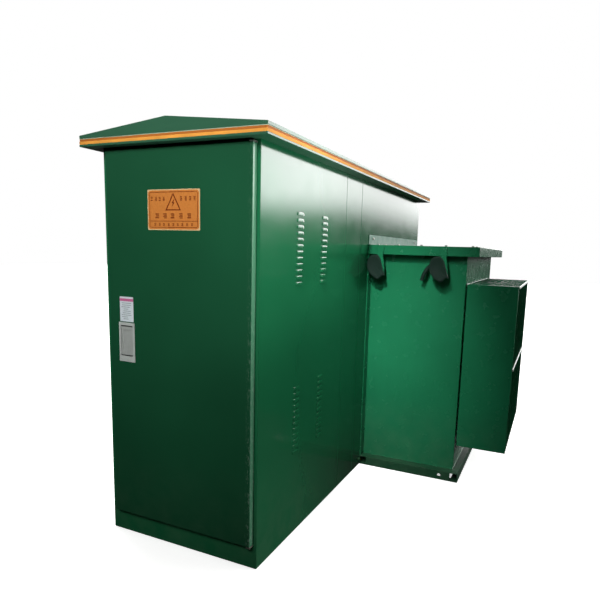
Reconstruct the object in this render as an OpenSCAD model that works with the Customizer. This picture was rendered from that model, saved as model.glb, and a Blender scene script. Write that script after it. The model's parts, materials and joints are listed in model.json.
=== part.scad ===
// Pad-mounted transformer: walk-round cabinet with three compartments, oil tank
// with radiator bank on the back, base skid, roof, three hinged doors.
// Millimetres, +Z up. X runs along the cabinet, the capacitor door is the +X end,
// the front doors face -Y, the tank and radiators are at +Y.
// The origin is the centre of the footprint, on the ground.

/* [Cabinet] */
// Length of the cabinet along X
cab_l = 2720; // [2600:10:2900]
// Depth of the cabinet along Y
cab_w = 860; // [820:10:900]
// Height of the walls, up to the underside of the roof
wall_h = 1912; // [1850:2:2000]
// Thickness of the cabinet sheet
sheet = 3; // [2:0.5:4]
// Distance from the front of the footprint to the front wall
front_gap = 73; // [60:1:90]

/* [Roof] */
// How far the roof overhangs the walls
roof_over = 73; // [60:1:90]
// Height of the roof's upright edge
fascia_h = 51; // [45:1:70]
// Rise from the upright edge to the ridge
gable_rise = 53; // [40:1:80]
// Height of the coloured band in the roof's edge
band_h = 26; // [20:1:32]

/* [Doors] */
// Height of the doors' lower edge above ground
door_z0 = 123; // [110:1:140]
// Height of the doors' upper edge above ground
door_z1 = 1895; // [1800:1:1896]
// How far the doors stand in front of the frame
door_proud = 34; // [30:1:40]
// Width of the capacitor compartment door
end_door_w = 800; // [760:5:820]
// Width of the high voltage compartment door
hv_door_w = 770; // [740:5:780]
// Width of the low voltage compartment door
lv_door_w = 915; // [880:5:930]

/* [Tank] */
// Length of the oil tank along X
tank_l = 1253; // [1200:1:1300]
// Depth of the oil tank along Y
tank_w = 629; // [600:1:660]
// Height of the tank lid's top face above ground
lid_top = 1516; // [1450:1:1560]
// Depth of the lid's turned-down edge
lid_skirt = 60; // [50:1:80]
// How far the lid overhangs the tank's ends
lid_over = 66; // [60:1:70]
// How far the lid overhangs the tank's back
lid_over_back = 82; // [60:1:90]
// Height of the base skid
base_h = 60; // [50:1:80]

/* [Radiators] */
// Number of cooling panels
panel_count = 21; // [8:1:24]
// Distance between neighbouring panels
panel_pitch = 50.5; // [40:0.5:50.5]
// Thickness of one panel
panel_t = 10; // [6:1:14]
// Height of the panels' lower edge above ground
panel_z0 = 228; // [150:1:300]
// Height of the panels' upper edge above ground
panel_z1 = 1287; // [1100:1:1350]

/* [Louvres] */
// Number of louvres in one column
louvre_count = 12; // [4:1:12]
// Distance between neighbouring louvres
louvre_pitch = 30.4; // [24:0.1:32]
// Width of one louvre
louvre_w = 74; // [50:1:90]

/* [Hidden] */

$fn = 48;
green = "#1d5a3a";
dark_green = "#15402b";
steel = "#b9bdbe";
zinc = "#9aa0a3";
copper = "#b06a3b";

// cabinet planes
x_end = cab_l / 2;
x_far = -cab_l / 2;
y_back = -10;
y_front = y_back - cab_w;
wall_z0 = 2;
seam_gap = 3;
seam_lv = x_end - 981;
seam_strip = x_end - 1243;
floor_t = 3;
floor_top = base_h + floor_t;
hv_wall_x = -560;
frame_lap = 25;
open_z0 = door_z0 + frame_lap;
open_z1 = door_z1 - frame_lap;
frame_lip = 30;

// doors: u runs from the hinge edge to the lock edge, n is the outward depth
door_gap = 4;
pivot_u = 10;
pivot_n = door_proud - 10;
pivot_r = 5;
pivot_clear = 0.05;
pivot_t = 5;
end_door_y = y_back - 15;
hv_door_x = x_far + 15;
lv_door_x = seam_lv - 14;
lock_w = 97;
lock_h = 191;
lock_z = 909;
lock_u_gap = 56;
paddle_w = 70;
paddle_h = 140;
paddle_z0 = lock_z + 33;
paddle_axis_z = paddle_z0 + paddle_h - 9;
paddle_axis_n = door_proud - 5;
rod_w = 18;
rod_t = 5;
rod_n = 7;
rod_split = 30;
rod_end_gap = 5;

// tank planes
tank_x1 = x_end - 1467;
tank_x0 = tank_x1 - tank_l;
tank_y1 = y_back + tank_w;
tank_t = 8;
lid_t = 8;
gasket_t = 8;
tank_top = lid_top - lid_t - gasket_t;
flange_w = 50;
flange_t = 10;
lid_x0 = tank_x0 - lid_over;
lid_x1 = tank_x1 + lid_over;
lid_y1 = tank_y1 + lid_over_back;
bolt_r = 6;
bolt_hole_r = 6.5;
bolt_head_r = 10;
skid_y1 = y_back + 674;
skid_beam_w = 50;
skid_t = 5;
anchor_x = 1200;
anchor_inset = skid_beam_w / 2;
anchor_r = 9;
earth_x = -18;
earth_z = 43;
earth_r = 9;

// radiators
rad_x1 = tank_x1 + 7;
rad_y0 = tank_y1 + 14;
rad_y1 = -y_front + front_gap - 6;
brace_t = 6;
header_r = 38;
header_y = rad_y0 + 60;
header_z0 = panel_z0 + 70;
header_z1 = panel_z1 - 70;
rad_x0 = rad_x1 - (panel_count - 1) * panel_pitch - panel_t;
stub_r = 17;

// a box given by two opposite corners
module block(a, b) {
    translate(a) cube(b - a);
}

// a rectangular frame lying in XY: outer corners a and b, bar widths wx and wy
module ring_xy(a, b, wx, wy) {
    difference() {
        block(a, b);
        block([a[0] + wx, a[1] + wy, a[2] - 1], [b[0] - wx, b[1] - wy, b[2] + 1]);
    }
}

// a steel channel lying along +X from the origin, its web on the -Y side
module channel(len, w = skid_beam_w, h = base_h, t = skid_t) {
    translate([0, 0, 0]) rotate([90, 0, 90]) linear_extrude(len)
        polygon([[0, 0], [w, 0], [w, t], [t, t], [t, h - t], [w, h - t], [w, h], [0, h]]);
}

// four channels as a rectangle with their webs outwards
module channel_ring(x0, y0, x1, y1) {
    translate([x0, y0, 0]) channel(x1 - x0);
    translate([x1, y1, 0]) rotate(180) channel(x1 - x0);
    translate([x0, y1 - skid_beam_w, 0]) rotate(-90) channel(y1 - y0 - 2 * skid_beam_w);
    translate([x1, y0 + skid_beam_w, 0]) rotate(90) channel(y1 - y0 - 2 * skid_beam_w);
}

// ---- base and cabinet ----

module skid_base() {
    cab_x = x_end - sheet;
    color(dark_green) difference() {
        union() {
            channel_ring(-cab_x, y_front + sheet, cab_x, y_back - sheet);
            for (x = [hv_wall_x, seam_lv + 10])
                translate([x, y_front + sheet + skid_beam_w, 0])
                    rotate(90) channel(cab_w - 2 * sheet - 2 * skid_beam_w);
            channel_ring(lid_x0, y_back - sheet, lid_x1, skid_y1);
            for (x = [tank_x0 + 380, tank_x1 - 380])
                translate([x, y_back - sheet + skid_beam_w, 0])
                    rotate(90) channel(skid_y1 - y_back + sheet - 2 * skid_beam_w);
            // deck that the tank stands on
            block([lid_x0, y_back, base_h - skid_t], [lid_x1, skid_y1, base_h]);
            // earth boss beside the tank
            translate([earth_x, y_back - sheet, earth_z]) rotate([-90, 0, 0])
                cylinder(r = earth_r, h = 16);
        }
        for (x = [-anchor_x, anchor_x])
            for (y = [y_front + sheet + anchor_inset, y_back - sheet - anchor_inset])
                translate([x, y, -1]) cylinder(r = anchor_r, h = base_h + 2);
        // lifting hole in the tank's end of the skid
        translate([lid_x1 - skid_t - 1, y_back + 554, 30]) rotate([0, 90, 0])
            cylinder(r = 11, h = skid_t + 2);
    }
}

// one floor sheet with a cable entry cut out of its middle
module floor_sheet(x0, x1, hole) {
    y0 = y_front + sheet + 45;
    y1 = y_back - sheet - 45;
    difference() {
        block([x0, y0, base_h], [x1, y1, floor_top]);
        translate([(x0 + x1) / 2 - hole[0] / 2, y0 + 130, base_h - 1])
            cube([hole[0], hole[1], floor_t + 2]);
    }
}

module floor_plates() {
    color(zinc) {
        floor_sheet(x_far + sheet + 45, hv_wall_x - sheet - 1, [480, 260]);
        floor_sheet(hv_wall_x + 1, seam_lv - sheet - 1, [620, 260]);
        floor_sheet(seam_lv + 1, x_end - sheet - 45, [360, 220]);
    }
}

// a wall sheet in the door plane of thickness t with one opening and its lip
module wall_opening(w0, w1, z0, z1) {
    translate([w0, -sheet - 1, z0]) cube([w1 - w0, sheet + 2, z1 - z0]);
}

module opening_lip(w0, w1, z0, z1) {
    difference() {
        translate([w0 - sheet, -frame_lip - sheet, z0 - sheet])
            cube([w1 - w0 + 2 * sheet, frame_lip + 1, z1 - z0 + 2 * sheet]);
        translate([w0, -frame_lip - sheet - 1, z0]) cube([w1 - w0, frame_lip + 3, z1 - z0]);
    }
}

module end_frame() {
    // drawn along +X with the outside at -Y turned to +X
    w0 = frame_lap + 15;
    w1 = w0 + end_door_w - 2 * frame_lap;
    color(green) translate([x_end, y_back, 0]) rotate(-90) union() {
        difference() {
            translate([0, -sheet, wall_z0]) cube([cab_w, sheet, wall_h - wall_z0]);
            wall_opening(w0, w1, open_z0, open_z1);
        }
        opening_lip(w0, w1, open_z0, open_z1);
    }
}

module front_frame() {
    // outside at +Y of the drawing, then turned to face -Y
    len = seam_lv - seam_gap - x_far;
    lv0 = seam_lv - lv_door_x + frame_lap - seam_gap;
    lv1 = lv0 + lv_door_w - 2 * frame_lap;
    hv1 = len - (hv_door_x - x_far) - frame_lap;
    hv0 = hv1 - hv_door_w + 2 * frame_lap;
    color(green) translate([seam_lv - seam_gap, y_front, 0]) rotate(180) union() {
        difference() {
            translate([0, -sheet, wall_z0]) cube([len, sheet, wall_h - wall_z0]);
            wall_opening(lv0, lv1, open_z0, open_z1);
            wall_opening(hv0, hv1, open_z0, open_z1);
        }
        opening_lip(lv0, lv1, open_z0, open_z1);
        opening_lip(hv0, hv1, open_z0, open_z1);
    }
}

module front_panel() {
    color(green)
        block([seam_lv, y_front, wall_z0], [x_end - sheet, y_front + sheet, wall_h]);
}

module far_wall() {
    color(green)
        block([x_far, y_front + sheet, wall_z0], [x_far + sheet, y_back - sheet, wall_h]);
}

module partition_hv() {
    color(zinc)
        block([hv_wall_x - sheet, y_front + sheet + frame_lip, base_h],
              [hv_wall_x, y_back - sheet, wall_h]);
}

module partition_lv() {
    color(zinc)
        block([seam_lv - sheet, y_front + sheet + frame_lip, base_h],
              [seam_lv, y_back - sheet, wall_h]);
}

// the hood of one louvre, drawn along +X, standing out towards +Y
module louvre_hood() {
    rotate([90, 0, 90]) linear_extrude(louvre_w)
        polygon([[0, 16], [2, 16], [8, 6], [8, 0], [6.6, 0], [6.6, 5.6], [1.2, 14], [0, 14]]);
}

// lower left corners of the louvres on the back wall
louvre_cols = [x_end - 380, x_end - 672];
louvre_rows = [1297, 438];
louvre_at = [
    for (x = louvre_cols) for (z = louvre_rows) for (i = [0:louvre_count - 1])
        [x - louvre_w / 2, z + i * louvre_pitch]
];

module back_panel_louvred() {
    color(green) union() {
        difference() {
            block([seam_lv, y_back - sheet, wall_z0], [x_end - sheet, y_back, wall_h]);
            for (p = louvre_at)
                translate([p[0] + 3, y_back - sheet - 1, p[1] + 3])
                    cube([louvre_w - 6, sheet + 2, 9]);
        }
        for (p = louvre_at) translate([p[0], y_back, p[1]]) louvre_hood();
    }
}

module back_cover_strip() {
    color(green)
        block([seam_strip, y_back - sheet, wall_z0],
              [seam_lv - seam_gap, y_back, wall_h]);
}

// L-shaped panel: full height beside the tank, and a strip above the tank lid
module back_panel_upper() {
    z_low = tank_top - 40;
    x_tank = tank_x1 + 7;
    x_seam = seam_strip - seam_gap;
    color(green) difference() {
        union() {
            block([x_far + sheet, y_back - sheet, z_low], [x_tank, y_back, wall_h]);
            block([x_tank, y_back - sheet, wall_z0 + base_h], [lid_x1, y_back, wall_h]);
            block([lid_x1, y_back - sheet, wall_z0], [x_seam, y_back, wall_h]);
        }
        translate([earth_x, y_back - sheet - 1, earth_z]) rotate([-90, 0, 0])
            cylinder(r = earth_r + 0.5, h = sheet + 2);
    }
}

// the roof's outline as a gabled prism, moved inwards by d from the overhang
module roof_prism(d, z0, z1, z2) {
    y0 = y_front - roof_over + d;
    y1 = y_back + roof_over - d;
    translate([x_far - roof_over + d, 0, 0]) rotate([90, 0, 90])
        linear_extrude(cab_l + 2 * (roof_over - d))
            polygon([[y0, z0], [y1, z0], [y1, z1], [(y0 + y1) / 2, z2], [y0, z1]]);
}

band_d = 3;
band_z0 = wall_h + 10;

module roof() {
    eave = wall_h + fascia_h;
    color(green) difference() {
        roof_prism(0, wall_h, eave, eave + gable_rise);
        roof_prism(2 * band_d, wall_h + sheet, eave - sheet, eave + gable_rise - sheet);
        ring_xy([x_far - roof_over - 1, y_front - roof_over - 1, band_z0],
                [x_end + roof_over + 1, y_back + roof_over + 1, band_z0 + band_h],
                band_d + 1, band_d + 1);
    }
}

module roof_band() {
    color("#d98a2b")
        ring_xy([x_far - roof_over, y_front - roof_over, band_z0],
                [x_end + roof_over, y_back + roof_over, band_z0 + band_h],
                band_d, band_d);
}

// ---- doors ----
// Each door is drawn with u along +X, n along +Y and its hinge edge at the origin.

module place_end() {
    translate([x_end, end_door_y, 0]) rotate(-90) children();
}

module place_lv() {
    translate([lv_door_x, y_front, 0]) rotate(180) children();
}

module place_hv() {
    translate([hv_door_x, y_front, 0]) mirror([0, 1, 0]) children();
}

module door_shell(w) {
    n1 = door_proud;
    lip = 22;
    u_lock = w - lock_u_gap - lock_w / 2;
    difference() {
        union() {
            difference() {
                block([0, door_gap, door_z0], [w, n1, door_z1]);
                block([sheet, door_gap - 1, door_z0 + sheet],
                      [w - sheet, n1 - sheet, door_z1 - sheet]);
            }
            // turned-in lip round the inside
            difference() {
                block([0, door_gap, door_z0], [w, door_gap + sheet, door_z1]);
                block([lip, door_gap - 1, door_z0 + lip],
                      [w - lip, door_gap + sheet + 1, door_z1 - lip]);
            }
            // pivot blocks at the hinge edge
            for (z = [door_z0, door_z1 - 20])
                translate([0, door_gap, z]) cube([lip, n1 - door_gap, 20]);
            // stiffener up the middle of the skin
            block([w / 2 - 30, n1 - sheet - 18, door_z0 + lip + 8],
                  [w / 2 - 27, n1 - sheet, door_z1 - lip - 8]);
            block([w / 2 + 27, n1 - sheet - 18, door_z0 + lip + 8],
                  [w / 2 + 30, n1 - sheet, door_z1 - lip - 8]);
            block([w / 2 - 30, n1 - sheet - 21, door_z0 + lip + 8],
                  [w / 2 + 30, n1 - sheet - 18, door_z1 - lip - 8]);
        }
        for (z = [door_z0 - 1, door_z1 - 21])
            translate([pivot_u, pivot_n, z]) cylinder(r = pivot_r + pivot_clear, h = 22);
        // cut-out behind the lock
        block([u_lock - 41, n1 - sheet - 1, lock_z + 20],
              [u_lock + 41, n1 + 1, lock_z + lock_h - 10]);
    }
}

module door_seal(w) {
    difference() {
        block([14, 1, door_z0 + 6], [w - 8, door_gap, door_z1 - 6]);
        block([22, 0, door_z0 + 14], [w - 16, door_gap + 1, door_z1 - 14]);
    }
}

// stainless dish with the cheeks that carry the paddle
module door_lock(w) {
    u = w - lock_u_gap - lock_w / 2;
    n1 = door_proud;
    pan_n = n1 - 18;
    color(steel) difference() {
        union() {
            difference() {
                block([u - lock_w / 2, n1, lock_z], [u + lock_w / 2, n1 + 2, lock_z + lock_h]);
                block([u - 37, n1 - 1, lock_z + 28], [u + 37, n1 + 3, lock_z + lock_h - 14]);
            }
            difference() {
                block([u - 39, pan_n, lock_z + 26], [u + 39, n1, lock_z + lock_h - 12]);
                block([u - 37, pan_n + 2, lock_z + 28], [u + 37, n1 + 1, lock_z + lock_h - 14]);
            }
            // key barrel below the dish
            translate([u, n1 + 2, lock_z + 14]) rotate([-90, 0, 0]) cylinder(r = 8, h = 3);
        }
        translate([u - 40, paddle_axis_n, paddle_axis_z]) rotate([0, 90, 0])
            cylinder(r = 3.05, h = 80);
    }
}

module door_paddle(w) {
    u = w - lock_u_gap - lock_w / 2;
    n0 = paddle_axis_n;
    color(steel) {
        union() {
            difference() {
                block([u - paddle_w / 2, n0 - 1, paddle_z0],
                      [u + paddle_w / 2, n0 + 4, paddle_z0 + paddle_h]);
                block([u - paddle_w / 2 + 8, n0 + 2, paddle_z0 + 22],
                      [u + paddle_w / 2 - 8, n0 + 5, paddle_z0 + paddle_h - 20]);
            }
            translate([u - 39, n0, paddle_axis_z]) rotate([0, 90, 0]) cylinder(r = 3, h = 78);
            // finger lip along the lower edge
            block([u - paddle_w / 2, n0 - 7, paddle_z0],
                  [u + paddle_w / 2, n0 - 1, paddle_z0 + 4]);
        }
    }
}

rod_top = open_z1 - rod_end_gap;
rod_bottom = open_z0 + rod_end_gap;
rod_mid = lock_z + lock_h / 2;

module door_rod(w, z0, z1, grip) {
    u = w - lock_u_gap - lock_w / 2;
    color(zinc) union() {
        block([u - rod_w / 2, rod_n, z0], [u + rod_w / 2, rod_n + rod_t, z1]);
        // foot that the paddle's cam pushes
        translate([u - 14, rod_n, grip]) cube([28, rod_t, 12]);
    }
}

module rod_up(w) {
    door_rod(w, rod_mid + rod_split, rod_top, rod_mid + rod_split);
}

module rod_down(w) {
    door_rod(w, rod_bottom, rod_mid - rod_split, rod_mid - rod_split - 12);
}

// bracket and pin below (or above) one door corner
module pivot_pair() {
    pin_len = 16;
    for (z = [door_z0 - 2 - pivot_t, door_z1 + 2])
        block([0, 0, z], [20, door_proud, z + pivot_t]);
    translate([pivot_u, pivot_n, door_z0 - 3]) cylinder(r = pivot_r, h = pin_len + 3);
    translate([pivot_u, pivot_n, door_z1 - pin_len]) cylinder(r = pivot_r, h = pin_len + 3);
}

module door_pivots() {
    color(zinc) {
        place_end() pivot_pair();
        place_hv() pivot_pair();
        place_lv() pivot_pair();
    }
}

module end_door() { color(green) place_end() door_shell(end_door_w); }
module end_door_seal() { color("#222222") place_end() door_seal(end_door_w); }
module end_door_lock() { place_end() door_lock(end_door_w); }
module end_door_paddle() { place_end() door_paddle(end_door_w); }
module end_door_rod_up() { place_end() rod_up(end_door_w); }
module end_door_rod_down() { place_end() rod_down(end_door_w); }

module hv_door() { color(green) place_hv() door_shell(hv_door_w); }
module hv_door_seal() { color("#222222") place_hv() door_seal(hv_door_w); }
module hv_door_lock() { place_hv() door_lock(hv_door_w); }
module hv_door_paddle() { place_hv() door_paddle(hv_door_w); }
module hv_door_rod_up() { place_hv() rod_up(hv_door_w); }
module hv_door_rod_down() { place_hv() rod_down(hv_door_w); }

module lv_door() { color(green) place_lv() door_shell(lv_door_w); }
module lv_door_seal() { color("#222222") place_lv() door_seal(lv_door_w); }
module lv_door_lock() { place_lv() door_lock(lv_door_w); }
module lv_door_paddle() { place_lv() door_paddle(lv_door_w); }
module lv_door_rod_up() { place_lv() rod_up(lv_door_w); }
module lv_door_rod_down() { place_lv() rod_down(lv_door_w); }

module warning_plate() {
    plate_u = 264;
    plate_w = 288;
    plate_z0 = 1538;
    plate_h = 178;
    color("#e0873a") place_end()
        block([plate_u, door_proud, plate_z0],
              [plate_u + plate_w, door_proud + 1.5, plate_z0 + plate_h]);
}

// ---- tank ----

// centres of the lid bolts, along the two long and two short flange sides
lid_bolt_xs = [for (i = [0:7]) tank_x0 + 40 + i * (tank_l - 80) / 7];
lid_bolt_ys = [for (i = [1:3]) y_back + 33 + i * (tank_w - 33 + flange_w / 2) / 4];
lid_bolts_at = concat(
    [for (x = lid_bolt_xs) for (y = [y_back + 33, tank_y1 + flange_w / 2]) [x, y]],
    [for (y = lid_bolt_ys)
        for (x = [tank_x0 - flange_w / 2, tank_x1 + flange_w / 2]) [x, y]]
);

module bolt_holes(z0, z1) {
    for (p = lid_bolts_at)
        translate([p[0], p[1], z0]) cylinder(r = bolt_hole_r, h = z1 - z0);
}

// round openings in the tank's front wall, [x, z, radius]
hv_bush_at = [for (i = [0:2]) [-1170 + i * 190, 760, 42]];
fuse_at = [for (i = [0:2]) [-1190 + i * 130, 1190, 30]];
lv_bush_at = [for (i = [0:3]) [-470 + i * 95, 940 + i * 62, 24]];
switch_at = [-700, 1200, 22];
tap_at = [-700, 1000, 18];
drain_at = [-1230, 170, 22];
wall_holes = concat(hv_bush_at, fuse_at, lv_bush_at, [switch_at, tap_at, drain_at]);

module tank() {
    color(green) difference() {
        union() {
            block([tank_x0, y_back, base_h], [tank_x1, tank_y1, tank_top]);
            block([tank_x0 - flange_w, y_back, tank_top - flange_t],
                  [tank_x1 + flange_w, tank_y1 + flange_w, tank_top]);
            // upright flange that closes against the cabinet's back panel
            block([tank_x1, y_back, base_h], [lid_x1, y_back + 6, lid_top - lid_skirt - 1]);
            // stiffeners on the far end
            for (y = [tank_y1 * 0.35, tank_y1 * 0.7])
                block([tank_x0 - 40, y, base_h + 100], [tank_x0, y + 60, tank_top - 120]);
        }
        block([tank_x0 + tank_t, y_back + tank_t, base_h + tank_t],
              [tank_x1 - tank_t, tank_y1 - tank_t, tank_top - flange_t]);
        block([tank_x0 + tank_t, y_back + tank_t + flange_w, tank_top - flange_t - 1],
              [tank_x1 - tank_t, tank_y1 - tank_t, tank_top + 1]);
        bolt_holes(tank_top - flange_t - 1, tank_top + 1);
        for (p = wall_holes)
            translate([p[0], y_back - 1, p[1]]) rotate([-90, 0, 0])
                cylinder(r = p[2], h = tank_t + 2);
    }
}

module tank_lid() {
    skirt_t = 4;
    color(green) difference() {
        block([lid_x0, y_back, lid_top - lid_skirt], [lid_x1, lid_y1, lid_top]);
        block([lid_x0 + skirt_t, y_back - 1, lid_top - lid_skirt - 1],
              [lid_x1 - skirt_t, lid_y1 - skirt_t, lid_top - lid_t]);
        bolt_holes(lid_top - lid_t - 1, lid_top + 1);
    }
}

module lid_gasket() {
    color("#262626") difference() {
        block([tank_x0 - flange_w, y_back, tank_top],
              [tank_x1 + flange_w, tank_y1 + flange_w, tank_top + gasket_t]);
        block([tank_x0 + tank_t, y_back + tank_t + flange_w, tank_top - 1],
              [tank_x1 - tank_t, tank_y1 - tank_t, tank_top + gasket_t + 1]);
        bolt_holes(tank_top - 1, tank_top + gasket_t + 1);
    }
}

flash_x0 = x_end - 2690;
flash_x1 = lid_x1 + 1;
flash_h = 64;
flash_bolts_x = [x_end - 1480, x_end - 2594];

module cover_bolts() {
    color(zinc) {
        for (p = lid_bolts_at) translate([p[0], p[1], 0]) union() {
            translate([0, 0, tank_top - flange_t - 8]) cylinder(r = bolt_r, h = 34);
            translate([0, 0, tank_top - flange_t - 8]) cylinder(r = bolt_head_r, h = 8, $fn = 6);
            translate([0, 0, lid_top]) cylinder(r = bolt_head_r, h = 7, $fn = 6);
        }
        for (x = flash_bolts_x) translate([x, y_back + 4, lid_top + flash_h - 24])
            rotate([-90, 0, 0]) cylinder(r = 8, h = 6, $fn = 6);
    }
}

module flashing_plate() {
    color(green) union() {
        block([flash_x0, y_back, lid_top], [flash_x1, y_back + 4, lid_top + flash_h]);
        block([flash_x0, y_back + 4, lid_top], [flash_x1, y_back + 16, lid_top + 4]);
    }
}

// centre of each lifting hook along Y
hook_ys = [y_back + 60, y_back + 469];
hook_z = 1380;
hook_stub_r = 26;

// end plate of a lifting hook: flat top, round shoulders, blunt point below
module hook_outline() {
    offset(10) offset(-10) polygon([
        [-36, 62], [12, 74], [32, 50], [44, 12], [66, -56], [52, -62], [26, -84],
        [-22, -62], [-48, -30], [-56, 0], [-54, 30]
    ]);
}

module lifting_hooks() {
    plate_x = lid_x1 + 21;
    color("#26302c") {
        for (y = hook_ys) union() {
            translate([tank_x1, y, hook_z]) rotate([0, 90, 0])
                cylinder(r = hook_stub_r, h = plate_x - tank_x1 + 1);
            translate([plate_x, y, hook_z]) rotate([90, 0, 90]) linear_extrude(12)
                hook_outline();
        }
        // short bent finger beside the second hook
        translate([tank_x1, hook_ys[1] - 92, hook_z - 70]) rotate([0, 90, 0])
            cylinder(r = 14, h = 40);
    }
}

module hook_brackets() {
    color(green) for (y = hook_ys)
        translate([lid_x1, y, 0]) rotate([90, 0, 90]) linear_extrude(8)
            polygon([
                [-4, lid_top - 12], [50, lid_top - 12], [50, lid_top - 30],
                [44, lid_top - 66], [58, lid_top - 150], [58, lid_top - 186],
                [44, lid_top - 186], [36, lid_top - 130], [8, lid_top - 74],
                [4, lid_top - 30], [-4, lid_top - 26]
            ]);
}

// ---- radiators ----

panel_xs = [for (i = [0:panel_count - 1]) rad_x1 - panel_t - i * panel_pitch];

// the two end panels are plain, the others let the headers through
module radiator_panels() {
    color(green) for (i = [0:panel_count - 1]) difference() {
        block([panel_xs[i], rad_y0, panel_z0], [panel_xs[i] + panel_t, rad_y1, panel_z1]);
        if (i > 0 && i < panel_count - 1)
            for (z = [header_z0, header_z1])
                translate([panel_xs[i] - 1, header_y, z]) rotate([0, 90, 0])
                    cylinder(r = header_r + 0.2, h = panel_t + 2);
    }
}

module radiator_headers() {
    head_x0 = rad_x0 + panel_t;
    head_x1 = rad_x1 - panel_t;
    stub_xs = [
        panel_xs[3] - (panel_pitch - panel_t) / 2,
        panel_xs[panel_count - 5] - (panel_pitch - panel_t) / 2
    ];
    color(green) for (z = [header_z0, header_z1]) union() {
        translate([head_x0, header_y, z]) rotate([0, 90, 0])
            cylinder(r = header_r, h = head_x1 - head_x0);
        for (x = stub_xs) translate([x, tank_y1, z]) rotate([-90, 0, 0])
            cylinder(r = stub_r, h = header_y - tank_y1);
    }
}

module radiator_braces() {
    bar_h = 14;
    mid_z = 763;
    color(dark_green) {
        block([rad_x0, rad_y1, panel_z1 - bar_h], [rad_x1, rad_y1 + brace_t, panel_z1]);
        block([rad_x0, rad_y1, mid_z], [rad_x1, rad_y1 + brace_t, mid_z + bar_h]);
        block([rad_x0, rad_y0 - brace_t, panel_z1 - bar_h], [rad_x1, rad_y0, panel_z1]);
        block([rad_x0, rad_y0 - brace_t, panel_z0], [rad_x1, rad_y0, panel_z0 + bar_h]);
    }
}

// ---- core and windings ----

coil_xs = [for (i = [-1:1]) (tank_x0 + tank_x1) / 2 + i * 395];
coil_y = y_back + tank_w / 2;
limb_w = 150;
core_z0 = base_h + tank_t + 70;
core_h = 1080;
yoke_h = 160;
coil_h = 700;
clamp_h = 120;

module core() {
    x0 = coil_xs[0] - limb_w / 2;
    x1 = coil_xs[2] + limb_w / 2;
    color("#6d6f72") difference() {
        block([x0, coil_y - limb_w / 2, core_z0], [x1, coil_y + limb_w / 2, core_z0 + core_h]);
        for (i = [0:1])
            block([coil_xs[i] + limb_w / 2, coil_y - limb_w, core_z0 + yoke_h],
                  [coil_xs[i + 1] - limb_w / 2, coil_y + limb_w, core_z0 + core_h - yoke_h]);
    }
}

module windings() {
    z0 = core_z0 + (core_h - coil_h) / 2;
    color(copper) for (x = coil_xs) translate([x, coil_y, z0]) difference() {
        cylinder(r = 190, h = coil_h);
        translate([0, 0, -1]) cylinder(r = 112, h = coil_h + 2);
    }
}

module core_clamps() {
    x0 = coil_xs[0] - limb_w / 2 - 20;
    x1 = coil_xs[2] + limb_w / 2 + 20;
    t = 8;
    z_top = core_z0 + core_h - clamp_h;
    color("#4c5b66") for (y = [coil_y + limb_w / 2, coil_y - limb_w / 2 - t]) {
        block([x0, y, z_top], [x1, y + t, z_top + clamp_h]);
        // lower clamp with its two feet on the tank floor
        union() {
            block([x0, y, core_z0], [x1, y + t, core_z0 + clamp_h]);
            for (x = [x0, x1 - 80])
                block([x, y, base_h + tank_t], [x + 80, y + t, core_z0 + 1]);
        }
    }
}

// ---- high voltage side ----

// a turned shape standing on the tank's front wall at [x, z], pointing to -Y
module on_wall(p) {
    translate([p[0], y_back + tank_t, p[1]]) rotate([90, 0, 0]) children();
}

module hv_bushings() {
    color("#7a2f24") for (p = hv_bush_at) on_wall(p) rotate_extrude()
        polygon([
            [0, -60], [20, -60], [34, -10], [41, 0], [41, tank_t], [58, tank_t],
            [58, tank_t + 14], [40, tank_t + 20], [34, tank_t + 90], [26, tank_t + 120],
            [18, tank_t + 124], [18, tank_t + 190], [0, tank_t + 190]
        ]);
}

module fuse_holders() {
    color("#3b3f42") for (p = fuse_at) on_wall(p) rotate_extrude()
        polygon([
            [0, -90], [22, -90], [22, -4], [29, 0], [29, tank_t], [40, tank_t],
            [40, tank_t + 10], [26, tank_t + 14], [26, tank_t + 70], [14, tank_t + 76],
            [14, tank_t + 96], [0, tank_t + 96]
        ]);
}

module load_switch_handle() {
    color("#b3331f") on_wall(switch_at) union() {
        rotate_extrude() polygon([
            [0, -30], [21.95, -30], [21.95, tank_t], [0, tank_t]
        ]);
        translate([0, 0, tank_t + 1]) cylinder(r = 34, h = 16);
        cylinder(r = 14, h = tank_t + 40);
        translate([-110, -9, tank_t + 24]) cube([220, 18, 12]);
    }
}

module tap_changer_knob() {
    color("#1c1f22") on_wall(tap_at) union() {
        translate([0, 0, -20]) cylinder(r = 17.95, h = tank_t + 20);
        translate([0, 0, tank_t + 1]) cylinder(r = 38, h = 14);
        cylinder(r = 12, h = tank_t + 30);
        translate([-7, -34, tank_t + 15]) cube([14, 68, 20]);
    }
}

module gauges() {
    color("#dcdcd6") for (p = [[-1190, 1340, 48], [-1060, 1340, 48], [-930, 1340, 34]])
        translate([p[0], y_back, p[1]]) rotate([90, 0, 0]) union() {
            cylinder(r = p[2] * 0.4, h = 20);
            translate([0, 0, 20]) cylinder(r = p[2], h = 34);
        }
}

module drain_valve() {
    color("#a8873c") union() {
        on_wall(drain_at) rotate_extrude() polygon([
            [0, -20], [21.8, -20], [21.8, tank_t], [34, tank_t], [34, tank_t + 10],
            [18, tank_t + 10], [18, tank_t + 90], [24, tank_t + 90], [24, tank_t + 110],
            [0, tank_t + 110]
        ]);
        translate([drain_at[0], y_back - 50, drain_at[1]]) cylinder(r = 10, h = 30);
    }
}

module drain_lever() {
    color("#b3331f") translate([drain_at[0], y_back - 50, drain_at[1] + 30.3]) union() {
        cylinder(r = 13, h = 8);
        translate([0, -8, 2]) cube([120, 16, 5]);
    }
}

// ---- low voltage side ----

bar_y = y_back - 128;
breaker_x0 = -40;

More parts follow.
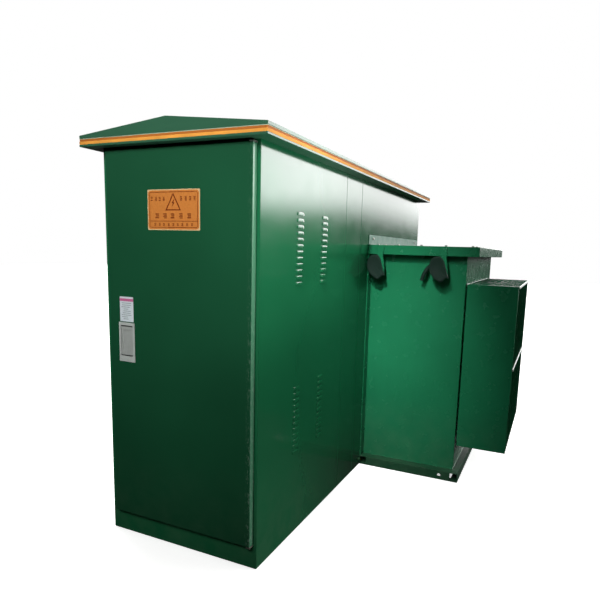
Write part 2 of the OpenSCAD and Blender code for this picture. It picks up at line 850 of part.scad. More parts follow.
module lv_bushings() {
    color("#8d3a2b") for (p = lv_bush_at) on_wall(p) rotate_extrude()
        polygon([
            [0, -40], [16, -40], [23, 0], [23, tank_t], [34, tank_t], [34, tank_t + 12],
            [24, tank_t + 16], [20, tank_t + 60], [9, tank_t + 62], [9, tank_t + 138],
            [0, tank_t + 138]
        ]);
}

module lv_busbars() {
    color(copper) for (p = lv_bush_at) difference() {
        block([p[0] - 25, bar_y, p[1] - 20], [breaker_x0, bar_y + 8, p[1] + 20]);
        translate([p[0], bar_y + 9, p[1]]) rotate([90, 0, 0]) cylinder(r = 9.5, h = 10);
    }
}

breaker_z0 = 880;
breaker_w = 300;
breaker_h = 360;
breaker_d = 190;
lever_at = [breaker_x0 + breaker_w / 2, y_back - sheet - breaker_d, breaker_z0 + 200];

module lv_breaker() {
    color("#33383c") difference() {
        block([breaker_x0, y_back - sheet - breaker_d, breaker_z0],
              [breaker_x0 + breaker_w, y_back - sheet, breaker_z0 + breaker_h]);
        translate([lever_at[0] - 22, lever_at[1] - 1, lever_at[2] - 55])
            cube([44, 41, 110]);
    }
}

module lv_breaker_lever() {
    color("#101214") translate(lever_at) union() {
        translate([-21.5, 26, 0]) rotate([0, 90, 0]) cylinder(r = 9, h = 43);
        translate([-9, -44, -8]) cube([18, 66, 16]);
    }
}

// ---- capacitor compartment ----

rack_x0 = seam_lv + 60;
rack_x1 = x_end - 120;
rack_y0 = y_front + 120;
rack_y1 = y_back - 180;
shelf_zs = [floor_top + 240, floor_top + 560];
rack_h = 860;

module capacitor_rack() {
    post = 30;
    color(zinc) union() {
        for (x = [rack_x0, rack_x1 - post]) for (y = [rack_y0, rack_y1 - post])
            block([x, y, floor_top], [x + post, y + post, floor_top + rack_h]);
        for (z = shelf_zs)
            block([rack_x0, rack_y0, z], [rack_x1, rack_y1, z + 3]);
    }
}

module capacitor_cans() {
    can = [110, 300, 190];
    color("#c9ccc8") for (z = shelf_zs) for (i = [0:4])
        translate([rack_x0 + 60 + i * 145, rack_y0 + 100, z + 3]) union() {
            cube(can);
            for (k = [0:2])
                translate([can[0] / 2, 70 + k * 80, can[2]]) cylinder(r = 14, h = 42);
        }
}

skid_base();
floor_plates();
end_frame();
front_frame();
front_panel();
far_wall();
partition_hv();
partition_lv();
back_panel_louvred();
back_cover_strip();
back_panel_upper();
roof();
roof_band();
door_pivots();
end_door();
end_door_seal();
end_door_lock();
end_door_paddle();
end_door_rod_up();
end_door_rod_down();
warning_plate();
hv_door();
hv_door_seal();
hv_door_lock();
hv_door_paddle();
hv_door_rod_up();
hv_door_rod_down();
lv_door();
lv_door_seal();
lv_door_lock();
lv_door_paddle();
lv_door_rod_up();
lv_door_rod_down();
tank();
tank_lid();
lid_gasket();
cover_bolts();
hook_brackets();
lifting_hooks();
flashing_plate();
radiator_panels();
radiator_headers();
radiator_braces();
core();
windings();
core_clamps();
hv_bushings();
fuse_holders();
load_switch_handle();
tap_changer_knob();
gauges();
lv_bushings();
lv_busbars();
lv_breaker();
lv_breaker_lever();
drain_valve();
drain_lever();
capacitor_rack();
capacitor_cans();
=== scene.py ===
"""Finished look of a pad-mounted transformer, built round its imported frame."""

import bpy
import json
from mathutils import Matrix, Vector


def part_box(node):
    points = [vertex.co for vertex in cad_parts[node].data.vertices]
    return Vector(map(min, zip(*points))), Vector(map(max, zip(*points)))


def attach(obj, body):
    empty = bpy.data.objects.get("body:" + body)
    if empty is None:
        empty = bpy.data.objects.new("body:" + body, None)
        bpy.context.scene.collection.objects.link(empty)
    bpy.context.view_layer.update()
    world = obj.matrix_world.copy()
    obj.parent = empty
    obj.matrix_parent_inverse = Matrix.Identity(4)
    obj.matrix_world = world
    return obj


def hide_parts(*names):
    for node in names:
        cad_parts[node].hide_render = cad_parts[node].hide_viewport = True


bl_info = {
    "name": "Pad-mounted transformer",
    "version": (1, 0, 0),
    "blender": (4, 5, 0),
    "location": "View3D > Sidebar > Transformer",
    "description": "Builds the painted cabinet, tank, radiators and fittings of a transformer",
    "category": "Object",
}

import json
import math
import random

import bmesh
import bpy
from bpy.props import FloatProperty, FloatVectorProperty, IntProperty, PointerProperty
from mathutils import Euler, Matrix, Vector

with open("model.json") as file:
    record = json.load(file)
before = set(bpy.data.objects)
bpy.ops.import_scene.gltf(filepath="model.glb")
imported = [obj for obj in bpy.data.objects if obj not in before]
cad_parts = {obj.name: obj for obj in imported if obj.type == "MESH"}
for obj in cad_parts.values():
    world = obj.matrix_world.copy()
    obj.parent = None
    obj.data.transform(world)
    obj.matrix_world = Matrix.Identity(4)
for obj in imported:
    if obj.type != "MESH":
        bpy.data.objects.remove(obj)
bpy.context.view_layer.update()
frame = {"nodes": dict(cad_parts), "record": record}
RECORD = frame["record"]
MM = 0.001
SLOT = {part["node"]: part["material_slot"] for part in RECORD["subparts"]}
BODY = {node: body for body, nodes in RECORD["behaviour"]["bodies"].items() for node in nodes}
DOORS = ("end_door", "hv_door", "lv_door")
LID_REACH = 66.0        # from the lid's edge in to the tank's wall, mm
DIRT = "#7f8a76"        # dried splashes from the ground


def colour(hex_code):
    """The linear colour of an sRGB hex value."""
    parts = [int(hex_code[i:i + 2], 16) / 255 for i in (1, 3, 5)]
    linear = [p / 12.92 if p <= 0.04045 else ((p + 0.055) / 1.055) ** 2.4 for p in parts]
    return (*linear, 1.0)


def shade(tone, factor):
    """A tone made lighter or darker by a factor."""
    return (*[min(1.0, part * factor) for part in tone[:3]], 1.0)


def box_mm(node):
    """The lowest and highest corners of a CAD node, in millimetres."""
    low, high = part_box(node)
    return Vector(low) / MM, Vector(high) / MM


# ---- sizes and colours a user would change ----

def length(name, description, default, least=0.0, most=3000.0):
    return FloatProperty(name=name, description=description, default=default, min=least, max=most)


def tint(name, description, hex_code):
    return FloatVectorProperty(name=name, description=description, size=4, subtype="COLOR",
                               min=0.0, max=1.0, default=colour(hex_code))


class TransformerSizes(bpy.types.PropertyGroup):
    """Sizes in millimetres"""
    sheet_edge: length("Sheet edge", "Rounding of the folded sheet's edges, mm", 1.2)
    plate_edge: length("Plate edge", "Rounding of the roof's and skid's heavier edges, mm", 2.0)
    louvre_width: length("Louvre width", "Width of one pressed louvre, mm", 74.0)
    louvre_height: length("Louvre height", "Height of one pressed louvre, mm", 16.0)
    louvre_depth: length("Louvre depth", "How far a louvre stands proud, mm", 6.5)
    louvre_pitch: length("Louvre pitch", "Distance between louvres, mm", 30.4)
    louvre_count: IntProperty(name="Louvres", description="Louvres in a column", default=12, min=1)
    louvre_low: length("Lower louvres", "Height of the lowest louvre, mm", 438.0)
    louvre_high: length("Upper louvres", "Height of the upper column's first louvre, mm", 1297.0)
    louvre_near: length("Near column", "From the panel's end to the near column, mm", 340.0)
    louvre_gap: length("Column gap", "Distance between the two columns, mm", 292.0)
    flute_count: IntProperty(name="Flutes", description="Flutes across one radiator panel",
                             default=6, min=2)
    panel_count: IntProperty(name="Panels", description="Radiator panels in the bank", default=21)
    bolt_washer: length("Bolt washers", "Radius of the lid bolts' washers, mm", 10.0)
    bead_radius: length("Weld bead", "Radius of the weld beads, mm", 3.2)


class TransformerColours(bpy.types.PropertyGroup):
    """Colours of the paint and the fittings"""
    cabinet: tint("Cabinet", "Powder coat of the cabinet", "#155837")
    door: tint("Doors", "Powder coat of the doors", "#14432b")
    tank: tint("Tank", "Paint of the tank and radiators", "#17603f")
    base: tint("Base", "Paint of the skid", "#15402a")
    hook: tint("Hooks", "Paint of the lifting hooks", "#17241f")
    stripe: tint("Stripe", "Main stripe round the roof", "#c98a3c")
    stripe_dark: tint("Dark stripe", "Darker stripe above it", "#9a5a26")
    stripe_highlight: tint("Pale stripe", "Thin pale line at the top", "#9aa690")
    plate: tint("Plate", "Field of the warning plate", "#a8682f")
    # The pale line is a painted highlight along the band's upper edge.
    plate_rim: tint("Plate rim", "Rim of the warning plate", "#b39a72")
    plate_ink: tint("Plate ink", "Marks on the warning plate", "#5c1e08")
    insulator: tint("Insulator", "Glazed insulators", "#7a2f24")
    brace: tint("Braces", "Bare braces of the radiators", "#cdd3cf")


# ---- node helper and materials ----

def add(tree, kind, inputs=None, **settings):
    """Adds a node with its settings and its inputs, each a value or another node's output."""
    node = tree.nodes.new(kind)
    for key, value in settings.items():
        setattr(node, key, value)
    for key, value in (inputs or {}).items():
        if isinstance(value, bpy.types.NodeSocket):
            tree.links.new(value, node.inputs[key])
        else:
            node.inputs[key].default_value = value
    return node


class Finish:
    """A material being made: its tree, the place on the piece and the common patterns."""

    def __init__(self, name):
        self.material = bpy.data.materials.new(name)
        self.material.use_nodes = True
        self.tree = self.material.node_tree
        self.tree.nodes.clear()
        self.place = add(self.tree, "ShaderNodeTexCoord").outputs["Object"]

    def noise(self, size_mm, detail=2.0, roughness=0.5, stretch=(1, 1, 1)):
        """Noise whose grains are size_mm across, stretched along the axes."""
        turned = add(self.tree, "ShaderNodeMapping", {"Vector": self.place, "Scale": stretch})
        return add(self.tree, "ShaderNodeTexNoise", {
            "Vector": turned.outputs[0], "Scale": 1 / (size_mm * MM), "Detail": detail,
            "Roughness": roughness}).outputs[0]

    def range(self, value, low, high, to_low=0.0, to_high=1.0):
        """A value from low to high made to run from to_low to to_high."""
        return add(self.tree, "ShaderNodeMapRange", {
            "Value": value, "From Min": low, "From Max": high,
            "To Min": to_low, "To Max": to_high}).outputs[0]

    def height(self, low, high, to_low=1.0, to_high=0.0):
        """Runs from to_low at the height low to to_high at the height high, in metres."""
        return self.range(self.axis("Z"), low, high, to_low, to_high)

    def axis(self, name):
        return add(self.tree, "ShaderNodeSeparateXYZ", {0: self.place}).outputs[name]

    def times(self, first, second):
        return add(self.tree, "ShaderNodeMath", {0: first, 1: second},
                   operation="MULTIPLY").outputs[0]

    def plus(self, first, second):
        return add(self.tree, "ShaderNodeMath", {0: first, 1: second},
                   operation="ADD").outputs[0]

    def mix(self, factor, first, second):
        """Colour from first to second."""
        return add(self.tree, "ShaderNodeMix", {0: factor, 6: first, 7: second},
                   data_type="RGBA").outputs[2]

    def bump(self, height, depth_mm, strength=1.0, below=None):
        inputs = {"Height": height, "Distance": depth_mm * MM, "Strength": strength}
        if below is not None:
            inputs["Normal"] = below
        return add(self.tree, "ShaderNodeBump", inputs).outputs[0]

    def done(self, tone, rough, normal=None, ior=None, more=None):
        """Ends the material in its shader. A metal keeps the shader's own IOR."""
        inputs = {"Base Color": tone, "Roughness": rough, **(more or {})}
        inputs.update({key: value for key, value in (("Normal", normal), ("IOR", ior))
                       if value is not None})
        shader = add(self.tree, "ShaderNodeBsdfPrincipled", inputs)
        add(self.tree, "ShaderNodeOutputMaterial", {"Surface": shader.outputs[0]})
        return self.material


def powder_coat(name, tone, gloss=0.13, dust=0.1, dusty_to=0.5, edge_highlight_and_scuffs=None):
    """Polyester powder, sprayed on and baked: a thick gloss skin with orange peel about 4 mm
    across over sheet that waves a little. Splashed dust dulls the lowest half metre."""
    f = Finish(name)
    clouds = f.noise(600, 2.0)
    tone_here = f.mix(f.range(clouds, 0.3, 0.7), shade(tone, 0.9), shade(tone, 1.1))
    splash = f.times(f.height(0.03, dusty_to), f.range(f.noise(110, 6.0, 0.6), 0.3, 0.8))
    dirt = f.times(splash, dust)
    tone_here = f.mix(dirt, tone_here, colour(DIRT))
    rough = f.range(f.noise(120, 3.0), 0.3, 0.7, gloss - 0.02, gloss + 0.03)
    rough = f.plus(rough, f.times(dirt, 0.9))
    if edge_highlight_and_scuffs:
        painted_edge_highlight, rubbed = edge_highlight_and_scuffs(f)
        # Painted highlight: the hinge edge's side face is painted a lighter green. The pale chips
        # beside it are wear.
        tone_here = f.mix(f.times(painted_edge_highlight, 0.55), tone_here, colour("#5f9a79"))
        chips = f.times(rubbed, f.range(f.noise(9, 5.0, 0.75, (1, 1, 0.35)), 0.52, 0.6))
        tone_here = f.mix(f.times(chips, 0.7), tone_here, colour("#9db3a4"))
    waves = f.bump(f.noise(380, 0.0), 1.2, 0.3)
    normal = f.bump(f.noise(4, 1.0), 0.1, 0.3, waves)
    return f.done(tone_here, rough, normal, 1.5)


def door_edge_highlight_and_wear(f):
    """Masks on the end door's edge: a painted highlight that lightens its folded hinge edge
    and the side face there, and wear where keys and shoulders rub the strip beside it."""
    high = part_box("end_door")[1]
    painted_edge_highlight = f.range(f.axis("Y"), high.y - 0.004, high.y - 0.0005)
    near_edge = f.range(f.axis("Y"), high.y - 0.03, high.y - 0.001)
    return painted_edge_highlight, f.times(near_edge, f.height(0.15, 1.35, 0.45, 0.1))


def gloss_paint(name, tone, gloss=0.22, grime=0.18):
    """Air-drying enamel sprayed on welded plate: glossy, a little uneven, with brush-wide
    runs of darker grime that rain has drawn down the sides."""
    f = Finish(name)
    patches = f.noise(350, 3.0)
    tone_here = f.mix(f.range(patches, 0.3, 0.7), shade(tone, 0.93), shade(tone, 1.07))
    runs = f.range(f.noise(35, 4.0, 0.6, (1, 1, 0.06)), 0.5, 0.9)
    tone_here = f.mix(f.times(runs, grime), tone_here, shade(tone, 0.5))
    splash = f.times(f.height(0.06, 0.5), f.range(f.noise(90, 6.0, 0.6), 0.3, 0.8))
    tone_here = f.mix(f.times(splash, 0.12), tone_here, colour(DIRT))
    rough = f.range(f.noise(60, 3.0), 0.3, 0.7, gloss - 0.03, gloss + 0.07)
    waves = f.bump(f.noise(300, 0.0), 0.7, 0.3)
    normal = f.bump(f.noise(5, 1.0), 0.04, 0.3, waves)
    return f.done(tone_here, rough, normal, 1.5)


def striped_enamel(name, colours, low, high):
    """Enamel stripes masked and sprayed round the roof's edge, dark and orange from the top
    down, under a pale line at the very top that is a painted highlight on the band's upper
    edge. Weather has chalked them matt, and their edges are faintly soft where the tape was
    lifted."""
    f = Finish(name)
    level = f.range(f.axis("Z"), low, high)
    wander = f.range(f.noise(12, 2.0, 0.5, (1, 1, 0.2)), 0.3, 0.7, -0.012, 0.012)
    level = f.plus(level, wander)
    orange = f.mix(f.range(f.noise(90, 3.0), 0.3, 0.7),
                   shade(colours.stripe, 0.86), shade(colours.stripe, 1.08))
    tone = f.mix(f.range(level, 0.48, 0.53), orange, tuple(colours.stripe_dark))
    # Painted highlight: a pale line along the band's upper edge.
    tone = f.mix(f.range(level, 0.88, 0.92), tone, tuple(colours.stripe_highlight))
    normal = f.bump(f.noise(4, 1.0), 0.1, 0.3)
    return f.done(tone, 0.7, normal, 1.25)


def printed_enamel(name, tone, rough=0.32):
    """Screen-printed enamel on an aluminium plate: smooth, with a slight mottle in the ink."""
    f = Finish(name)
    mottle = f.noise(7, 3.0, 0.6)
    tone_here = f.mix(f.range(mottle, 0.3, 0.7), shade(tone, 0.9), shade(tone, 1.06))
    normal = f.bump(f.noise(1.5, 1.0), 0.03, 0.3)
    return f.done(tone_here, rough, normal, 1.5)


def brushed_metal(name, tone, rough, grain_mm, along, tarnish=0.15, metal=1.0):
    """Metal drawn or brushed along one axis: fine long scratches across the light, a few
    duller patches from hands and weather."""
    f = Finish(name)
    stretch = tuple(0.02 if axis == along else 1.0 for axis in "XYZ")
    lines = f.noise(grain_mm, 3.0, 0.6, stretch)
    patches = f.range(f.noise(60, 4.0, 0.6), 0.45, 0.75)
    tone_here = f.mix(f.range(lines, 0.3, 0.7), shade(tone, 0.85), shade(tone, 1.08))
    tone_here = f.mix(f.times(patches, tarnish), tone_here, shade(tone, 0.45))
    roughness = f.range(patches, 0, 1, rough, rough + 0.2)
    normal = f.bump(lines, 0.05, 0.35)
    return f.done(tone_here, roughness, normal, more={"Metallic": metal})


def zinc_plating(name):
    """Zinc, electroplated and passivated: a soft grey metal with bluish and straw patches
    about 25 mm across."""
    f = Finish(name)
    bloom = f.range(f.noise(25, 5.0, 0.65), 0.35, 0.65)
    tone = f.mix(bloom, colour("#a9adb0"), colour("#bdb9a6"))
    rough = f.range(bloom, 0, 1, 0.34, 0.5)
    normal = f.bump(f.noise(2.0, 2.0), 0.05, 0.3)
    return f.done(tone, rough, normal, more={"Metallic": 0.9})


def moulded(name, tone, rough, grain_mm, depth_mm=0.04):
    """Moulded rubber or plastic: an even colour with the mould's fine grain and a slight
    bloom of dust."""
    f = Finish(name)
    bloom = f.range(f.noise(80, 4.0, 0.6), 0.4, 0.75)
    tone_here = f.mix(f.times(bloom, 0.15), tone, colour("#8b8d88"))
    roughness = f.range(bloom, 0, 1, rough, rough + 0.12)
    normal = f.bump(f.noise(grain_mm, 2.0), depth_mm, 0.5)
    return f.done(tone_here, roughness, normal, 1.5)


def glazed(name, tone):
    """Cast resin or glazed porcelain: deep gloss, a little darker where the glaze pools."""
    f = Finish(name)
    pool = f.range(f.noise(30, 2.0), 0.3, 0.7)
    tone_here = f.mix(pool, shade(tone, 0.75), shade(tone, 1.1))
    return f.done(tone_here, 0.12, None, 1.52, {"Coat Weight": 0.5, "Coat Roughness": 0.05})


def banded(name, tone_a, tone_b, pitch_mm, along, rough, metallic=0.0):
    """Thin layers stacked along one axis, such as core laminations or wound paper: fine
    lines that differ a little in tone."""
    f = Finish(name)
    line = add(f.tree, "ShaderNodeTexWave", {
        "Vector": f.place, "Scale": 0.314 / (pitch_mm * MM), "Distortion": 0.4, "Detail": 2.0},
        wave_type="BANDS", bands_direction=along).outputs[1]
    tone_here = f.mix(line, tone_a, tone_b)
    normal = f.bump(line, 0.2, 0.6)
    return f.done(tone_here, rough, normal, more={"Metallic": metallic})


def sealed_concrete(name):
    """Pale sealed floor, trowelled flat: nearly white, with a faint cloudiness."""
    f = Finish(name)
    clouds = f.range(f.noise(900, 3.0), 0.3, 0.7)
    tone = f.mix(clouds, colour("#f4f4f2"), colour("#fbfbfa"))
    return f.done(tone, 0.6, more={"Emission Color": (1, 1, 1, 1), "Emission Strength": 0.62})


def make_finishes(colours):
    """All the finishes of the object, by the record's slot and by their own names."""
    band_low, band_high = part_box("roof_band")
    return {
        "base_paint": gloss_paint("painted_channel_steel", colours.base, 0.34, 0.35),
        "zinc_plate": zinc_plating("zinc_plated_steel"),
        "cabinet_paint": powder_coat("green_powder_coat", colours.cabinet),
        "door_paint": powder_coat("dark_green_powder_coat", colours.door, 0.2, 0.06,
                                  edge_highlight_and_scuffs=door_edge_highlight_and_wear),
        "roof_paint": powder_coat("dusty_green_powder_coat", colour("#29513c"), 0.3, 0.1),
        "orange_band": striped_enamel("striped_enamel", colours, band_low.z, band_high.z),
        # Galvanised sheet that green overspray has reached, so little bare metal shines.
        "flashing_zinc": brushed_metal("weathered_galvanised_sheet", colour("#3f6f5b"), 0.5, 2.0,
                                       "X", 0.1, 0.1),
        "seal_rubber": moulded("epdm_rubber", colour("#1b1c1c"), 0.65, 1.2),
        "stainless": brushed_metal("brushed_stainless_steel", colour("#d6ddd8"), 0.42, 0.8, "Z",
                                   0.1, 0.5),
        "paddle_steel": brushed_metal("handled_stainless_steel", colour("#c0c6c1"), 0.45, 0.8, "Z",
                                      0.2, 0.5),
        "orange_plate": printed_enamel("printed_orange_enamel", colours.plate),
        "plate_rim": printed_enamel("printed_cream_enamel", colours.plate_rim),
        "plate_ink": printed_enamel("printed_dark_orange_ink", colours.plate_ink),
        "label_film": printed_enamel("white_label_film", colour("#b9c2c6"), 0.4),
        "label_band": printed_enamel("magenta_label_ink", colour("#a8567c"), 0.4),
        "label_ink": printed_enamel("grey_label_ink", colour("#76807f"), 0.4),
        "tank_paint": gloss_paint("green_tank_enamel", colours.tank),
        "hook_paint": gloss_paint("dark_hook_enamel", colours.hook, 0.4, 0.2),
        "brace_zinc": brushed_metal("galvanised_flat_bar", colours.brace, 0.45, 2.0, "X", 0.08),
        "core_steel": banded("laminated_electrical_steel", colour("#6d6f72"),
                             colour("#54565a"), 2.0, "Y", 0.4, 0.9),
        "winding_paper": banded("wound_insulating_paper", colour("#b98a55"),
                                colour("#9c7040"), 9.0, "Z", 0.7),
        "clamp_paint": gloss_paint("grey_primer", colour("#5f6c74"), 0.5, 0.1),
        "bushing_resin": glazed("glazed_insulator", colours.insulator),
        "black_plastic": moulded("black_moulded_plastic", colour("#202224"), 0.42, 0.9),
        "red_paint": moulded("red_moulded_grip", colour("#a3261c"), 0.35, 1.0),
        "gauge_enamel": printed_enamel("white_dial_enamel", colour("#dddcd5"), 0.25),
        # Black print on the dials. The locks use it too, as painted shade in their gaps and
        # keyways.
        "dial_ink": printed_enamel("black_ink_and_gap_shade", colour("#1a1a1a"), 0.35),
        "copper_bar": brushed_metal("bare_copper", colour("#b87445"), 0.3, 0.9, "X", 0.35),
        "valve_brass": brushed_metal("cast_brass", colour("#b4904a"), 0.36, 1.5, "Y", 0.3),
        "can_aluminium": brushed_metal("drawn_aluminium", colour("#c4c8c6"), 0.35, 0.8, "Z"),
        "floor": sealed_concrete("sealed_floor"),
    }


FINISH = {}


def finish(name):
    """The finish of that name; all are made the first time one is asked for."""
    if not FINISH:
        FINISH.update(make_finishes(bpy.context.scene.transformer_colours))
    return FINISH[name]


# ---- shapes ----

class Shape:
    """A mesh being made in millimetres, in its own right, up and outward directions."""

    def __init__(self, origin=(0, 0, 0), right=(1, 0, 0), up=(0, 1, 0), out=(0, 0, 1)):
        self.bm = bmesh.new()
        self.turn = Matrix([right, up, out]).transposed().to_4x4()
        self.turn.translation = origin

    def mark(self, faces, slot):
        for face in faces:
            face.material_index = slot

    def block(self, low, high, edge=0.0, slot=0, segments=2):
        """A box between two corners with rounded edges."""
        verts = bmesh.ops.create_cube(self.bm, size=1.0)["verts"]
        for vert in verts:
            vert.co = Vector(a + (b - a) * (c + 0.5) for a, b, c in zip(low, high, vert.co))
        faces = {face for vert in verts for face in vert.link_faces}
        self.mark(faces, slot)
        if edge > 0:
            edges = list(dict.fromkeys(e for vert in verts for e in vert.link_edges))
            bmesh.ops.bevel(self.bm, geom=edges, offset=edge, segments=segments,
                            profile=0.5, affect="EDGES", clamp_overlap=True)
        return self

    def turned(self, profile, centre=(0, 0, 0), axis=(0, 0, 1), steps=32, slot=0):
        """A turned shape from (radius, height) points along an axis from a centre."""
        axis = Vector(axis).normalized()
        side = axis.orthogonal().normalized()
        other = axis.cross(side)
        rings = []
        for radius, height in profile:
            middle = Vector(centre) + axis * height
            if radius <= 0:
                rings.append([self.bm.verts.new(middle)])
                continue
            angles = [2 * math.pi * k / steps for k in range(steps)]
            rings.append([self.bm.verts.new(
                middle + (side * math.cos(a) + other * math.sin(a)) * radius) for a in angles])
        self.skin(rings, steps, slot)
        return self

    def skin(self, rings, steps, slot, closed=True):
        """Faces between rings of points; a ring of one point is a pole."""
        for lower, upper in zip(rings, rings[1:]):
            for k in range(steps if closed else steps - 1):
                corners = [lower[k % len(lower)], lower[(k + 1) % len(lower)],
                           upper[(k + 1) % len(upper)], upper[k % len(upper)]]
                corners = [c for i, c in enumerate(corners) if c not in corners[:i]]
                if len(corners) > 2:
                    self.bm.faces.new(corners).material_index = slot

    def tube(self, points, radius, steps=10, slot=0, swell=None):
        """A round bar along points; swell(i) changes its radius at point i."""
        points = [Vector(p) for p in points]
        rings = []
        side = None
        for i, point in enumerate(points):
            before = points[max(i - 1, 0)]
            after = points[min(i + 1, len(points) - 1)]
            along = (after - before).normalized()
            side = along.orthogonal() if side is None else side - along * side.dot(along)
            side.normalize()
            other = along.cross(side)
            size = radius * (swell(i) if swell else 1.0)
            rings.append([self.bm.verts.new(point + (
                side * math.cos(2 * math.pi * k / steps)
                + other * math.sin(2 * math.pi * k / steps)) * size) for k in range(steps)])
        ends = [[self.bm.verts.new(points[0])], [self.bm.verts.new(points[-1])]]
        self.skin([ends[0], *rings, ends[1]], steps, slot)
        return self

    def bead(self, start, end, radius, slot=0):
        """A weld bead whose ripples are about 7 mm apart."""
        start, end = Vector(start), Vector(end)
        count = max(2, int((end - start).length / 3.5))
        points = [start.lerp(end, i / count) for i in range(count + 1)]
        ripple = random.Random(count)
        sizes = [(0.9 if i % 2 else 1.12) + ripple.uniform(-0.06, 0.06)
                 for i in range(count + 1)]
        return self.tube(points, radius, 7, slot, lambda i: sizes[i])

    def prism(self, outline, low, high, edge=0.0, slot=0):
        """An outline of (right, up) points given a thickness outward."""
        base = self.bm.faces.new([self.bm.verts.new((x, y, low)) for x, y in outline])
        grown = bmesh.ops.extrude_face_region(self.bm, geom=[base])["geom"]
        top = [g for g in grown if isinstance(g, bmesh.types.BMVert)]
        bmesh.ops.translate(self.bm, verts=top, vec=(0, 0, high - low))
        faces = {face for vert in [*top, *base.verts] for face in vert.link_faces}
        self.mark(faces, slot)
        if edge > 0:
            rim = [e for e in self.bm.edges
                   if all(v in top for v in e.verts) and len(e.link_faces) == 2]
            bmesh.ops.bevel(self.bm, geom=rim, offset=edge, segments=2, profile=0.5,
                            affect="EDGES", clamp_overlap=True)
        return self

    def frame_line(self, outline, inner, low, high, slot=0):
        """A flat line between an outline and one inside it with as many points."""
        count = len(outline)
        rings = [[self.bm.verts.new((x, y, z)) for x, y in line]
                 for line, z in ((outline, low), (outline, high), (inner, high), (inner, low))]
        self.skin([*rings, rings[0]], count, slot)
        return self

    def mesh(self, name, smooth_below=35):
        """The finished mesh, in metres, with its faces outward."""
        self.bm.transform(Matrix.Scale(MM, 4) @ self.turn)
        bmesh.ops.recalc_face_normals(self.bm, faces=self.bm.faces)
        mesh = bpy.data.meshes.new(name)
        self.bm.to_mesh(mesh)
        self.bm.free()
        return smooth(mesh, smooth_below)


def smooth(mesh, below=35):
    """Smooth shading across every edge that turns less than that many degrees. A face far
    larger than those it turns into stays flat, so a rounded edge doesn't bend its light."""
    limit = math.radians(below)
    flat_ratio = 5.0
    bm = bmesh.new()
    bm.from_mesh(mesh)
    rounded = []
    for face in bm.faces:
        area = face.calc_area()
        turned = [other for edge in face.edges for other in edge.link_faces
                  if 0.001 < face.normal.angle(other.normal, 0.0) < limit]
        rounded.append(any(other.calc_area() * flat_ratio > area for other in turned))
    bm.free()
    # Marking the sharp edges also turns every face smooth, so the faces' own flags come last.
    mesh.set_sharp_from_angle(angle=limit)
    mesh.polygons.foreach_set("use_smooth", rounded)
    return mesh


def round_outline(low, high, radius, steps=5):
    """A rectangle with round corners, as (right, up) points."""
    points = []
    corners = ((high[0] - radius, high[1] - radius, 0), (low[0] + radius, high[1] - radius, 90),
               (low[0] + radius, low[1] + radius, 180), (high[0] - radius, low[1] + radius, 270))
    for x, y, start in corners:
        for k in range(steps + 1):
            points.append(tuple(round_point(radius, start + 90 * k / steps, (x, y))[:2]))
    return points


def round_point(radius, degrees, centre=(0, 0), out=0.0):
    """The point at a radius and an angle from a centre, raised outward."""
    angle = math.radians(degrees)
    return Vector((centre[0] + radius * math.cos(angle), centre[1] + radius * math.sin(angle),
                   out))


def spline(corners, steps):
    """A smooth closed outline through corners, with some points between each two."""
    points = []
    count = len(corners)
    for i in range(count):
        a, b, c, d = (Vector(corners[(i + k) % count]) for k in (-1, 0, 1, 2))
        for k in range(steps):
            t = k / steps
            points.append(tuple(0.5 * (2 * b + (c - a) * t + (2 * a - 5 * b + 4 * c - d) * t ** 2
                                       + (3 * b - a - 3 * c + d) * t ** 3)))
    return points


def rounded_copy(node, edge_mm, least_mm=12.0, segments=2):
    """The mesh of a CAD node with its long sharp edges rounded."""
    bm = bmesh.new()
    bm.from_mesh(frame["nodes"][node].data)
    bmesh.ops.remove_doubles(bm, verts=bm.verts, dist=1e-5)
    bmesh.ops.dissolve_limit(bm, angle_limit=math.radians(0.5), verts=bm.verts, edges=bm.edges)
    sharp = [e for e in bm.edges if e.is_manifold and e.calc_length() > least_mm * MM
             and e.calc_face_angle(0) > math.radians(40)]
    bmesh.ops.bevel(bm, geom=sharp, offset=edge_mm * MM, segments=segments, profile=0.5,
                    affect="EDGES", clamp_overlap=True)
    bmesh.ops.recalc_face_normals(bm, faces=bm.faces)
    mesh = bpy.data.meshes.new(node)
    bm.to_mesh(mesh)
    bm.free()
    return smooth(mesh, 28)


def joined(name, *meshes):
    """Several meshes as one; their material slots are kept by number."""
    bm = bmesh.new()
    for mesh in meshes:
        bm.from_mesh(mesh)
    mesh = bpy.data.meshes.new(name)
    bm.to_mesh(mesh)
    bm.free()
    return smooth(mesh, 30)


# ---- geometry nodes for what repeats ----

ROWS = {}


